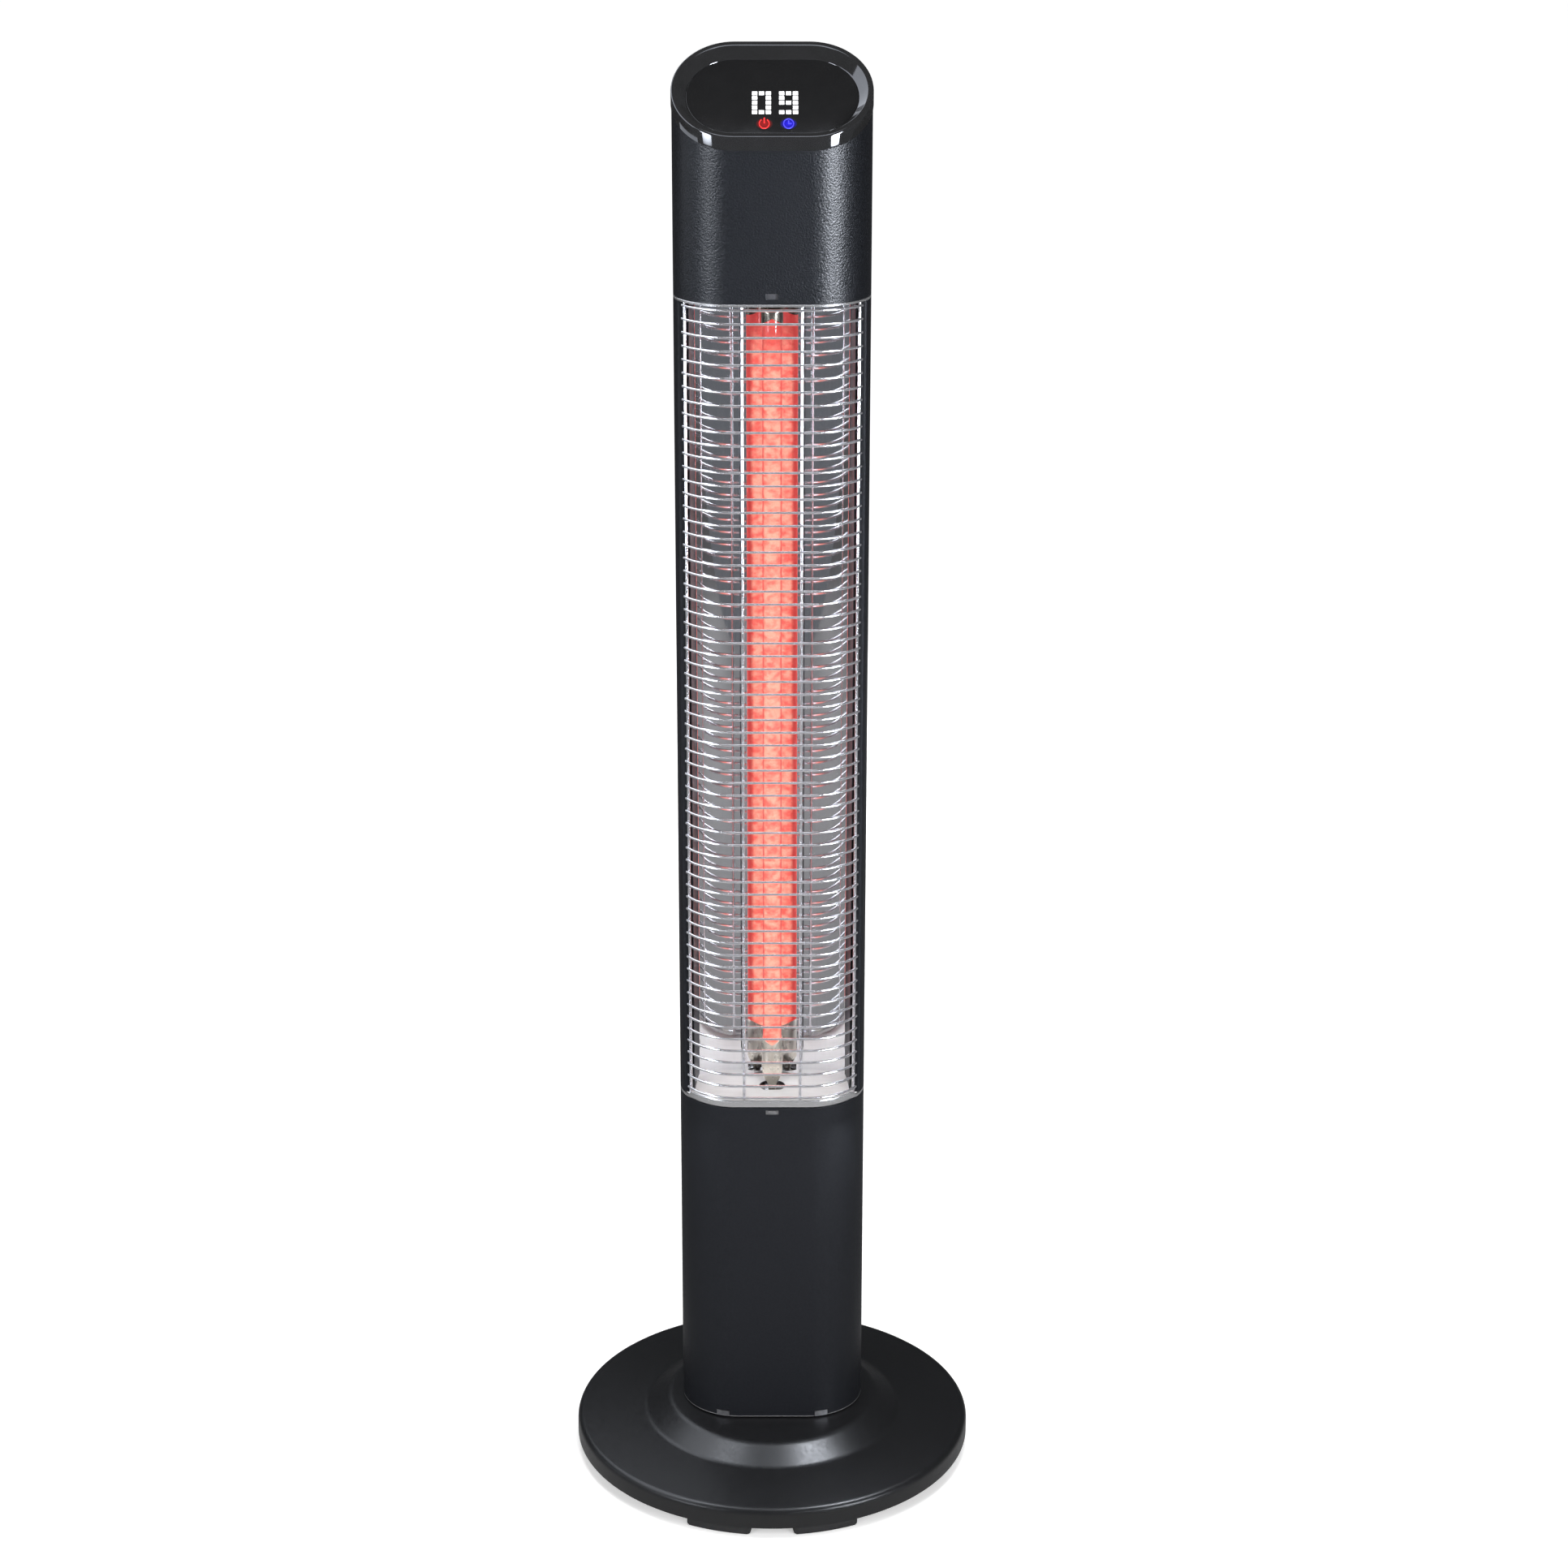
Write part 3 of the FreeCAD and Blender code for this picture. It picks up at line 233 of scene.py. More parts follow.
# %% Cards and strips
CARD_TINT = (0.95, 1, 1.09)
STRIP_SPREAD = radians(40)
STRIPS = [("strip_right", (1.85, -1.9, 1.6), (0, 0, 1.1), 0.7, 1.5, 15.5),
          ("strip_left", (-2, -1.8, 1.6), (0, 0, 1.1), 0.8, 1.5, 4.8)]
CARDS = [("card_above", (0, -0.2, 3), (0, -0.1, 0), 0.8, 0.6, 4.5),
         ("card_left", (-1.35, 0.6, 2.45), (0.06, 0, 1.2), 3.6, 1.3, 36),
         ("card_side", (-2.4, 0, 0.86), (0, 0, 1.1), 2, 0.25, 3.2),
         ("ring_card_right", (0.135, -0.085, 0.33), (0.135, -0.085, 0), 0.1, 0.07, 0.76),
         ("ring_card_left", (-0.135, -0.085, 0.33), (-0.135, -0.085, 0), 0.1, 0.07, 0.18)]
for card in STRIPS + CARDS:
    lamp = soft_box(*card)
    lamp.data.color = CARD_TINT
    lamp.visible_diffuse = False
    if card in STRIPS:
        lamp.data.spread = STRIP_SPREAD
print("strips and cards:", [card[0] for card in STRIPS + CARDS])

# %% [markdown]
# ## Finishes
# Every finish is a Principled shader with its own detail. One helper makes the shader. A second
# makes a mottled one, in which a noise varies the colour and the roughness a little, and a third
# raises a fine grain. The noise lies in object space, because the meshes have no unwrapped
# coordinates, and that keeps the grain at its real scale, in metres.

# %% Helpers for finishes
def coat(finish, sockets):
    fill(finish.node_tree.nodes["Principled BSDF"], sockets)


def new_finish(name, colour, roughness):
    finish = bpy.data.materials.new(name)
    finish.use_nodes = True
    coat(finish, {"Base Color": colour, "Roughness": roughness})
    return finish


def noise(tree, scale, stretch=(1, 1, 1), detail=3):
    where = add_node(tree, "ShaderNodeTexCoord").outputs["Object"]
    turn = add_node(tree, "ShaderNodeMapping", {"Vector": where, "Scale": stretch})
    sockets = {"Vector": turn.outputs["Vector"], "Scale": scale, "Detail": detail}
    return add_node(tree, "ShaderNodeTexNoise", sockets).outputs["Fac"]


def mottled(name, dark, light, scale, rough, metallic=0, specular=0.5, stretch=(1, 1, 1)):
    """Its colour and roughness wander between two values, over blotches of a scale per metre."""
    finish = new_finish(name, dark, rough[0])
    tree = finish.node_tree
    cloud = noise(tree, scale, stretch)
    coat(finish, {"Base Color": blend(tree, vary(tree, cloud, 0, 1), dark, light),
                  "Roughness": vary(tree, cloud, *rough), "Metallic": metallic,
                  "Specular IOR Level": specular})
    return finish


def grain(finish, scale, height, stretch=(1, 1, 1), strength=0.5):
    """Raises a fine grain of a height in metres."""
    tree = finish.node_tree
    sockets = {"Height": noise(tree, scale, stretch, 2), "Distance": height, "Strength": strength}
    coat(finish, {"Normal": add_node(tree, "ShaderNodeBump", sockets).outputs["Normal"]})


print("helpers for finishes ready")

# %% [markdown]
# ## Black coats
# The tower's sheet metal has a satin powder coat, which shows a fine orange-peel grain on the head
# and is smoother on the column. The base is moulded plastic with a duller skin. All three are dark
# greys rather than black: pure black would hide the shape.

# %% Black coats
head_coat = mottled("head_coat", (0.0014, 0.0021, 0.0039), (0.0082, 0.0095, 0.0129), 700,
                    (0.3, 0.39), specular=0.42)
grain(head_coat, 700, 0.0005, strength=0.6)
column_coat = mottled("column_coat", (0.008, 0.0088, 0.0111), (0.0104, 0.0112, 0.0137), 500,
                      (0.4, 0.48), specular=0.13)
grain(column_coat, 1500, 0.00005, strength=0.3)
base_plastic = mottled("base_plastic", (0.0048, 0.0049, 0.0055), (0.0066, 0.0067, 0.0073), 320,
                       (0.3, 0.38))
grain(base_plastic, 1200, 0.00006, strength=0.35)
print("coats:", head_coat.name, column_coat.name, base_plastic.name)

# %% [markdown]
# ## The tower's plan
# Column, head, shell, bezel and lens all follow one obround: two half circles joined by straight
# sides. A function gives its points for any inset, always in the same number and order, so that
# outlines at different insets can be joined into walls. Extra points can be asked for where a slot
# or notch needs an edge.

# %% Obround outline
CORNER_X = 30
BEND = 50


def obround(inset=0, front=(), turns=(), arc_steps=28):
    """Plan points in millimetres, anticlockwise seen from above, from the front left corner."""
    radius = BEND - inset
    xs = sorted({-CORNER_X, CORNER_X, *front})
    stops = {-90 + 180 * step / arc_steps for step in range(arc_steps + 1)} | set(turns)
    angles = [radians(stop) for stop in sorted(stops)]
    right = [(CORNER_X + radius * cos(angle), radius * sin(angle)) for angle in angles]
    left = [(-x, y) for x, y in reversed(right[1:-1])]
    back = [(x, radius) for x in reversed(xs[:-1])]
    return [(x, -radius) for x in xs] + right[1:] + back + left


print("points in the plan:", len(obround()))

# %% [markdown]
# ## Pieces
# Each piece is a mesh that is written down as points and faces. One helper makes it smooth except
# at its sharp edges, and says which body it rides on and which solids it stands for. The others are
# for sheet metal: they give a sheet its thickness, ease its edges, and paint some of its faces with
# another finish.

# %% Helpers for pieces
SHARP = 35


def loose_mesh(name, verts, faces):
    """An object of points in millimetres that rides on nothing yet."""
    mesh = bpy.data.meshes.new(name)
    mesh.from_pydata([[value * MM for value in vert] for vert in verts], [], faces)
    return put(name, mesh)


def new_piece(name, verts, faces, finish, slot, stands_for=(), body="tower", sharp=SHARP):
    """A piece of the heater, smooth except at its sharp edges, that rides on a body."""
    piece = loose_mesh(name, verts, faces)
    mesh = piece.data
    mesh.validate()
    mesh.polygons.foreach_set("use_smooth", [True] * len(mesh.polygons))
    mesh.set_sharp_from_angle(angle=radians(sharp))
    mesh.materials.append(finish)
    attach(piece, body)
    if stands_for:
        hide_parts(*stands_for)
    print("%-18s %6d faces on %s" % (name, len(faces), body))
    return piece


def bevel(piece, width, angle=SHARP):
    edge = piece.modifiers.new("eased_edges", "BEVEL")
    edge.width = width * MM
    edge.segments = 2
    edge.limit_method = "ANGLE"
    edge.angle_limit = radians(angle)
    edge.harden_normals = True


def modified_mesh(piece):
    """A new mesh with all that the piece's modifiers make of it."""
    bpy.context.view_layer.update()
    graph = bpy.context.evaluated_depsgraph_get()
    return bpy.data.meshes.new_from_object(piece.evaluated_get(graph))


def settle(piece, sharp=SHARP):
    """Keeps what the modifiers made as the piece's own mesh, and marks its sharp edges."""
    mesh = modified_mesh(piece)
    piece.modifiers.clear()
    piece.data = mesh
    mesh.set_sharp_from_angle(angle=radians(sharp))


def thicken(piece, wall, sharp=SHARP):
    """Gives a sheet its thickness, away from the side that its faces look to."""
    skin = piece.modifiers.new("wall", "SOLIDIFY")
    skin.thickness = wall * MM
    skin.offset = -1
    skin.use_even_offset = True
    settle(piece, sharp)


def patch(piece, finish, chosen):
    """Gives the faces whose middle passes a test, in millimetres, a finish of their own."""
    piece.data.materials.append(finish)
    for face in piece.data.polygons:
        if chosen(*(face.center / MM)):
            face.material_index = len(piece.data.materials) - 1


print("helpers for pieces ready")

# %% [markdown]
# ## Lofts
# Most pieces are lofts: a list of outlines with the same number of points, joined one to the next
# by quads. A loft closes by meeting its first outline again, like a tyre, or by a cap at each end.

# %% Loft through outlines
def loft(rings):
    """Joins outlines into a wall whose last outline meets the first again."""
    count = len(rings[0])
    faces = []
    for ring in range(len(rings)):
        low, high = ring * count, (ring + 1) % len(rings) * count
        for index in range(count):
            following = (index + 1) % count
            faces.append((low + index, low + following, high + following, high + index))
    return [vert for ring in rings for vert in ring], faces


def capped_loft(rings):
    """Joins outlines into a wall, and closes its first and last outline with a face each."""
    count = len(rings[0])
    verts, faces = loft(rings)
    faces = faces[:-count]
    faces.append(tuple(reversed(range(count))))
    faces.append(tuple(range(len(verts) - count, len(verts))))
    return verts, faces


def circle(radius, z, steps=144, x=0, y=0):
    turns = [step * (2 * pi / steps) for step in range(steps)]
    return [(x + radius * cos(turn), y + radius * sin(turn), z) for turn in turns]


print("points in a circle:", len(circle(1, 0)))

# %% [markdown]
# ## Column and head
# Both are folded sheet with a small slot in front, and the column has two notches at its foot. One
# could cut the holes with booleans, but those leave long thin triangles that spoil the shine. Here
# the wall is a grid whose rows and columns already run along the hole's edges, and the quads inside
# a hole are left out. A Solidify modifier gives the sheet its thickness. It is applied at once, so
# that the sheet's cut ends can be marked sharp and don't bend the shine of the faces beside them.
# A thin band along the column's lower edge gets a pale grey finish of its own.

# %% Walls with slots
def wall_grid(plan, rows, is_hole):
    """A wall over a plan, open at its ends. Each row is a function that gives its height at y."""
    verts, faces = loft([[(x, y, row(y)) for x, y in plan] for row in rows])
    walls = []
    for face in faces[:-len(plan)]:
        middle = [sum(verts[index][axis] for index in face) / len(face) for axis in range(3)]
        if not is_hole(*middle):
            walls.append(face)
    return verts, walls


def flat_rows(*heights):
    return [lambda y, z=z: z for z in heights]


print("helpers for walls ready")

# %% Column
COLUMN_BOTTOM, WINDOW_BOTTOM, WINDOW_TOP = 47, 346, 1042
SLOT_LOW, SLOT_HIGH, SLOT_HALF = 339.5, 344, 5.5
NOTCH_IN, NOTCH_OUT, NOTCH_TOP = 37.7, 49.3, 52.3
PALE_BAND_TOP = COLUMN_BOTTOM + 0.9
TUBE_WALL = 2


def column_hole(x, y, z):
    slot = abs(x) < SLOT_HALF and y < 0 and SLOT_LOW < z < SLOT_HIGH
    notch = NOTCH_IN < abs(x) < NOTCH_OUT and y < 0 and z < NOTCH_TOP
    return slot or notch


notch_turns = [-90 + degrees(asin((x - CORNER_X) / BEND)) for x in (NOTCH_IN, NOTCH_OUT)]
plan = obround(front=(-SLOT_HALF, SLOT_HALF), turns=notch_turns)
rows = flat_rows(COLUMN_BOTTOM, PALE_BAND_TOP, NOTCH_TOP, 150, 250, SLOT_LOW, SLOT_HIGH, WINDOW_BOTTOM)
column = new_piece("column_skin", *wall_grid(plan, rows, column_hole), column_coat, "black_steel",
                   ["column_tube"])
thicken(column, TUBE_WALL)
# A mid grey: a pale band on the column's lower edge here, and painted shade on the tray's tongue
# below.
grey_band_and_painted_shade = mottled("grey_band_and_painted_shade", (0.14, 0.14, 0.145), (0.2, 0.2, 0.205), 300, (0.42, 0.58), 0.3)
# The lowest band of the wall takes the pale grey.
patch(column, grey_band_and_painted_shade, lambda x, y, z: z < PALE_BAND_TOP)
bevel(column, 0.3)

# %% Head with its slanted top
SLOPE = tan(radians(32.24))
RIDGE_FRONT = 1174
TOP_SLOT_LOW, TOP_SLOT_HIGH, TOP_SLOT_HALF = 1046, 1050.5, 4.75
HEAD_DROP = 10.5


def slant(drop):
    """The slanted plane that lies a drop below the bezel's ridge, as heights over y."""
    return lambda y: RIDGE_FRONT - drop + (y + BEND) * SLOPE


def head_hole(x, y, z):
    return abs(x) < TOP_SLOT_HALF and y < 0 and TOP_SLOT_LOW < z < TOP_SLOT_HIGH


plan = obround(front=(-TOP_SLOT_HALF, TOP_SLOT_HALF))
rows = flat_rows(WINDOW_TOP, TOP_SLOT_LOW, TOP_SLOT_HIGH, 1100)
rows += [slant(40), slant(HEAD_DROP)]
head = new_piece("head_skin", *wall_grid(plan, rows, head_hole), head_coat, "black_steel",
                 ["upper_housing"])
thicken(head, TUBE_WALL)
bevel(head, 0.45)

# %% [markdown]
# ## Bezel and lens
# The top is cut at a slant. A dark mirror-bright ring closes it, and inside its sloping rim lies a
# flat smoked lens. Both are lofts, and each outline has an inset and a drop below the ridge. Close
# outlines round the edges, which is where the thin bright lines of the real ring come from.

# %% Bezel and lens
def slanted_rings(profile):
    """Outlines on the slant, for pairs of an inset and a drop below the ridge."""
    return [[(x, y, slant(drop)(y)) for x, y in obround(inset, arc_steps=40)]
            for inset, drop in profile]


bezel_gloss = mottled("bezel_gloss", (0.07, 0.071, 0.074), (0.082, 0.083, 0.087), 60,
                      (0.04, 0.07), 0.8)
grain(bezel_gloss, 140, 0.00002, strength=0.12)
profile = [(-0.5, HEAD_DROP), (-0.5, 1.3), (-0.35, 0.6), (0.1, 0.15), (0.8, 0), (3.3, 0),
           (3.9, 0.1), (4.4, 0.45), (10.4, 5.5), (10.9, 5.8), (11.2, 6.3), (11.2, 8),
           (15.2, 8), (15.2, 13), (2.3, 13), (2.3, HEAD_DROP)]
new_piece("bezel_rim", *loft(slanted_rings(profile)), bezel_gloss, "dark_chrome", ["bezel_ring"],
          sharp=50)

LENS_TOP = 6
lens_gloss = mottled("lens_gloss", (0.0088, 0.0089, 0.0094), (0.0098, 0.0099, 0.0104), 45,
                     (0.1, 0.15))
profile = [(11.5, 8), (11.5, 6.35), (11.6, 6.1), (11.9, LENS_TOP)]
new_piece("smoked_window", *capped_loft(slanted_rings(profile)), lens_gloss, "smoked_lens",
          ["display_lens"], sharp=50)

# %% [markdown]
# ## The lit display
# Square dots of light shine through the lens as two plain digits, with a power sign and a clock
# sign below them. Here each is a thin plate on the lens with its own glow. A glow of about one
# keeps its colour: a stronger one would clip to white. Each sign has a faint halo of scattered
# light.

# %% Digits
def glow_finish(name, colour, strength, body_colour):
    finish = new_finish(name, body_colour, 0.3)
    tree = finish.node_tree
    spots = vary(tree, noise(tree, 700), strength * 0.85, strength * 1.1)
    coat(finish, {"Emission Color": colour, "Emission Strength": spots})
    return finish


def plate_prism(outline, height=0.25):
    """A thin plate on the lens over a plan outline."""
    return capped_loft([[(x, y, slant(LENS_TOP - rise)(y)) for x, y in outline]
                        for rise in (0, height)])


def merge(parts):
    verts, faces = [], []
    for part_verts, part_faces in parts:
        start = len(verts)
        verts.extend(part_verts)
        faces.extend(tuple(start + index for index in face) for face in part_faces)
    return verts, faces


def rectangle(x0, y0, x1, y1):
    return [(x0, y0), (x1, y0), (x1, y1), (x0, y1)]


DIGITS = [(-15.9, 0.4, ["111", "101", "101", "101", "111"]),
          (5.5, 21.8, ["111", "101", "111", "001", "111"])]
DIGIT_TOP, DIGIT_LENGTH, DOT_X, DOT_Y = 5.7, 24.5, 4.1, 3.6
dots = []
for left, right, rows in DIGITS:
    for row, cells in enumerate(rows):
        for cell, lit in enumerate(cells):
            if lit == "1":
                x = left + cell * (right - left) / 3
                y = DIGIT_TOP - (row + 1) * DIGIT_LENGTH / 5
                dots.append(plate_prism(rectangle(x, y, x + DOT_X, y + DOT_Y)))
white_glow = glow_finish("white_glow", (0.95, 0.97, 1), 1, (0.6, 0.6, 0.6))
new_piece("digit_dots", *merge(dots), white_glow, "digit_white")

# %% Signs and their halos
POWER, CLOCK, SIGN_R = (-6.2, -28.8), (12.9, -28.8), 3.9
HALO_X, HALO_Y, HALO_FILM = 7, 7.6, 0.04
HALO_FULL, HALO_OUT = 0.002, 0.0068


def arc_band(centre, width, start, end, steps=28, squeeze=1.25):
    """A band of a circle in plan; squeeze makes up for the slope of the lens."""
    angles = [radians(start + (end - start) * step / steps) for step in range(steps + 1)]
    inner, outer = [[(centre[0] + size * cos(angle), centre[1] + size * sin(angle) * squeeze)
                     for angle in angles] for size in (SIGN_R - width / 2, SIGN_R + width / 2)]
    return merge([plate_prism([inner[step], outer[step], outer[step + 1], inner[step + 1]])
                  for step in range(steps)])


def bar(centre, x0, y0, x1, y1):
    x, y = centre
    return plate_prism(rectangle(x + x0, y + y0, x + x1, y + y1))


def halo(name, centre, colour, strength):
    """A faint disc of scattered light under a sign, fading from its centre."""
    finish = new_finish(name, (0.012, 0.0122, 0.013), 0.12)
    tree = finish.node_tree
    middle = [value * MM for value in (*centre, slant(LENS_TOP)(centre[1]))]
    away = tree.nodes.new("ShaderNodeVectorMath")
    away.operation = "DISTANCE"
    fill(away, {0: add_node(tree, "ShaderNodeTexCoord").outputs["Object"], 1: middle})
    fade = vary(tree, away.outputs["Value"], strength, 0, HALO_FULL, HALO_OUT)
    coat(finish, {"Emission Color": colour, "Emission Strength": fade})
    disc = [(centre[0] + HALO_X * x, centre[1] + HALO_Y * y) for x, y, _ in circle(1, 0, 48)]
    new_piece(name, *plate_prism(disc, HALO_FILM), finish, "smoked_lens")


halo("power_halo", POWER, (1, 0, 0), 0.35)
halo("clock_halo", CLOCK, (0.01, 0, 1), 0.75)
red_glow = glow_finish("red_glow", (1, 0.03, 0.03), 1, (0.3, 0.01, 0.01))
blue_glow = glow_finish("blue_glow", (0.09, 0.08, 1), 1, (0.01, 0.01, 0.3))
power_sign = merge([arc_band(POWER, 0.75, 125, 415), bar(POWER, -0.55, 0.4, 0.55, 6)])
new_piece("power_sign", *power_sign, red_glow, "digit_white")
clock_sign = merge([arc_band(CLOCK, 0.7, 0, 360), bar(CLOCK, -0.45, -0.5, 0.45, 3.2),
                    bar(CLOCK, 0.45, -0.5, 2.4, 0.6)])
new_piece("clock_sign", *clock_sign, blue_glow, "digit_white")

# %% [markdown]
# ## Base cover
# The base is one moulding: a low dish with a raised ring that carries the tower. Anything with one
# axis is best made by turning a profile, so the cover is a loft of circles. The crease between rim
# and dish and the two bends of the ring are rounded by several close circles.

# %% Turned cover
def rounded(corner_in, corner, corner_out, size, steps):
    """Points that round the middle corner of a profile with an arc-like curve of a size."""
    corner = Vector(corner)
    start = corner + (Vector(corner_in) - corner).normalized() * size
    end = corner + (Vector(corner_out) - corner).normalized() * size
    shares = [step / steps for step in range(steps + 1)]
    return [tuple(start * (1 - share) ** 2 + corner * 2 * share * (1 - share) + end * share ** 2)
            for share in shares]


outer = [(175, 12), (175, 29), (112.8, 33), (92, 45.5), (31.4, 45.5)]
inner = [(31.4, 43), (89.5, 43), (110.3, 30.5), (167.5, 26.5), (172.5, 24), (172.5, 12)]
profile = [outer[0]]
for index, (size, steps) in enumerate([(5.5, 6), (3, 4), (3.5, 5)]):
    profile += rounded(*outer[index:index + 3], size, steps)
profile += [outer[-1]] + inner
cover = new_piece("base_shell", *loft([circle(*pair) for pair in profile]), base_plastic,
                  "black_plastic", ["base_cover"], "base")

# %% Cord hole in the rim
GLAND_X, GLAND_Z, CORD_HOLE_R = 36, 20.85, 5.1
DRILL_FROM, DRILL_TO = 150, 190


def cut(item, name, tool):
    hole = item.modifiers.new(name, "BOOLEAN")
    hole.operation = "DIFFERENCE"
    hole.object = tool


rings = [[(GLAND_X + x, y, GLAND_Z - z) for x, z, _ in circle(CORD_HOLE_R, 0, 48)]
         for y in (DRILL_FROM, DRILL_TO)]
drill = loose_mesh("drill", *capped_loft(rings))
cut(cover, "cord_hole", drill)
settle(cover)
bpy.data.objects.remove(drill)
print("faces with the cord hole:", len(cover.data.polygons))

# %% [markdown]
# ## Heater floor and ceiling
# The lamp stands over a bright steel tray. Its front edge is rolled up into a low bead between the
# ends of the guard, and a tongue goes through the slot in the column. The tray is a loft from the
# lamp's round hole out to the obround edge. The bead fades out where the black shell begins. A
# plain plate of the same kind, upside down, closes the lamp's chamber above.

# %% Steel finishes
tray_steel = mottled("tray_steel", (0.85, 0.85, 0.85), (0.91, 0.91, 0.91), 70, (0.55, 0.66),
                     specular=0.03, stretch=(1, 6, 1))
grain(tray_steel, 900, 0.00002, (1, 12, 1), 0.3)
rim_steel = mottled("rim_steel", (0.64, 0.64, 0.65), (0.68, 0.68, 0.69), 60, (0.2, 0.25), 0.85)
# Painted shade: a dark grey for places that lie in shade: the lamp's hole in the tray, the tongue
# in the head's slot and the mirror's flanges.
painted_shade_dark = mottled("painted_shade_dark", (0.05, 0.05, 0.055), (0.075, 0.075, 0.082), 90, (0.44, 0.56), 0.6,
                    stretch=(1, 1, 0.3))
print("steels:", tray_steel.name, rim_steel.name, painted_shade_dark.name)

# %% Outlines of the tray
FLOOR_Z, CEILING_Z, LAMP_Y = 348, 1040, -6
LAMP_HOLE_R = 11.3
BEAD, BEAD_END, BEAD_FADE = 5.4, -25, 6


def smooth_step(share):
    """Goes from 0 to 1 with a soft start and a soft end."""
    share = min(max(share, 0), 1)
    return share * share * (3 - 2 * share)


def bead_share(y):
    """Share of the bead's height: full in front, fading out at the sides."""
    return smooth_step((BEAD_END - y) / BEAD_FADE)


def tray_ring(inset, lift=0, to_edge=1, z=None):
    """An outline between the lamp's hole and the tray's edge, lifted by a share of the bead."""
    ring = []
    for x, y in obround(inset, arc_steps=40):
        angle = atan2(y - LAMP_Y, x)
        hole_x = LAMP_HOLE_R * cos(angle)
        hole_y = LAMP_Y + LAMP_HOLE_R * sin(angle)
        height = FLOOR_Z + BEAD * bead_share(y) * lift if z is None else z
        ring.append((hole_x + (x - hole_x) * to_edge, hole_y + (y - hole_y) * to_edge, height))
    return ring


def bead_foot(inset, z):
    """The edge below the bead: drawn in by an inset, but flush where the bead has faded out."""
    ring = []
    for (x0, y0, _), (x1, y1, _) in zip(tray_ring(0, z=z), tray_ring(inset, z=z)):
        share = bead_share(y0)
        ring.append((x0 + (x1 - x0) * share, y0 + (y1 - y0) * share, z))
    return ring


print("points in a tray outline:", len(tray_ring(0)))

# %% Steel tray
FLANGE_OUT, FLANGE_IN, FLANGE_DEPTH = 2.3, 3.5, 10
TONGUE_HALF, TONGUE_BACK, FRONT_FACES = 3.5, -46.1, -45
OUTWARD = (0.3, 0.65, 1)


def soft_block(low, high, ease):
    """A block whose corners are eased, as loft rings from its bottom to its top."""
    rings = []
    for z, inset in ((low[2], ease), (low[2] + ease, 0), (high[2] - ease, 0), (high[2], ease)):
        x0, y0, x1, y1 = low[0] + inset, low[1] + inset, high[0] - inset, high[1] - inset
        rings.append([(x0 + ease, y0, z), (x1 - ease, y0, z), (x1, y0 + ease, z),
                      (x1, y1 - ease, z), (x1 - ease, y1, z), (x0 + ease, y1, z),
                      (x0, y1 - ease, z), (x0, y0 + ease, z)])
    return capped_loft(rings)


def flange(start, end):
    """The plate's inner flange, which fits into the tube from a height to its own end."""
    corners = [(FLANGE_OUT, start), (FLANGE_OUT, end), (FLANGE_IN, end), (FLANGE_IN, start)]
    return [tray_ring(inset, z=z) for inset, z in corners]


def on_rim(x, y, z):
    return z > FLOOR_Z + 0.4 or hypot(max(abs(x) - CORNER_X, 0), y) > BEND - 1.8


rings = [tray_ring(1.2, 0, share, z)
         for share, z in [(0, WINDOW_BOTTOM), (0, FLOOR_Z - 0.4), (0.02, FLOOR_Z)]]
rings += [tray_ring(2.6, 0, share) for share in OUTWARD]
rings += [tray_ring(inset, lift) for inset, lift in [
    (2.3, 0.1), (2.1, 0.4), (1.9, 0.75), (1.4, 0.95), (0.9, 1), (0.45, 0.93), (0.15, 0.75),
    (0, 0.5), (0, 0.25), (0.15, 0)]]
rings += [bead_foot(inset, z) for inset, z in ((0.5, 347), (1.1, 346.3), (1.6, WINDOW_BOTTOM))]
rings += flange(WINDOW_BOTTOM, WINDOW_BOTTOM - FLANGE_DEPTH)
tongue = soft_block((-TONGUE_HALF, -48.4, 340.5), (TONGUE_HALF, TONGUE_BACK, 343), 0.4)
tray = new_piece("lamp_tray", *merge([loft(rings), tongue]), tray_steel, "bright_steel",
                 ["heater_floor"])
patch(tray, rim_steel, on_rim)
# Painted shade: the wall of the lamp's hole takes the dark grey.
patch(tray, painted_shade_dark, lambda x, y, z: hypot(x, y - LAMP_Y) < LAMP_HOLE_R + 0.1)
# Painted shade: the tongue and the flange that show through the column's slot take a mid grey.
patch(tray, grey_band_and_painted_shade, lambda x, y, z: y < FRONT_FACES and z < WINDOW_BOTTOM - 1)

# %% Chamber ceiling
rings = [tray_ring(0, 0, share, z)
         for share, z in [(0, WINDOW_TOP), (0, CEILING_Z + 0.3), (0.02, CEILING_Z)]]
rings += [tray_ring(0.3, 0, share, CEILING_Z) for share in OUTWARD]
edge = [(0, CEILING_Z + 0.3), (0, WINDOW_TOP - 0.3), (0.3, WINDOW_TOP)]
rings += [tray_ring(inset, z=z) for inset, z in edge]
rings += flange(WINDOW_TOP, WINDOW_TOP + FLANGE_DEPTH)
tongue = soft_block((-TONGUE_HALF, -47.6, 1047), (TONGUE_HALF, TONGUE_BACK, 1048.6), 0.3)
ceiling = new_piece("chamber_ceiling", *merge([loft(rings), tongue]), rim_steel, "bright_steel",
                    ["heater_ceiling"])
# Painted shade: the tongue and the flange that show through the head's slot take the dark grey.
patch(ceiling, painted_shade_dark, lambda x, y, z: y < FRONT_FACES and z > WINDOW_TOP + 2)

# %% [markdown]
# ## Rear shell
# A single folded sheet wraps the back of the lamp chamber and turns inward in a narrow lip on each
# side of the window. Its path in plan is an open line, swept straight up, with small bends at the
# lips and a Solidify modifier for the sheet.

# %% Shell sheet
SHELL_FRONT, SHELL_WALL = -20, 1.5


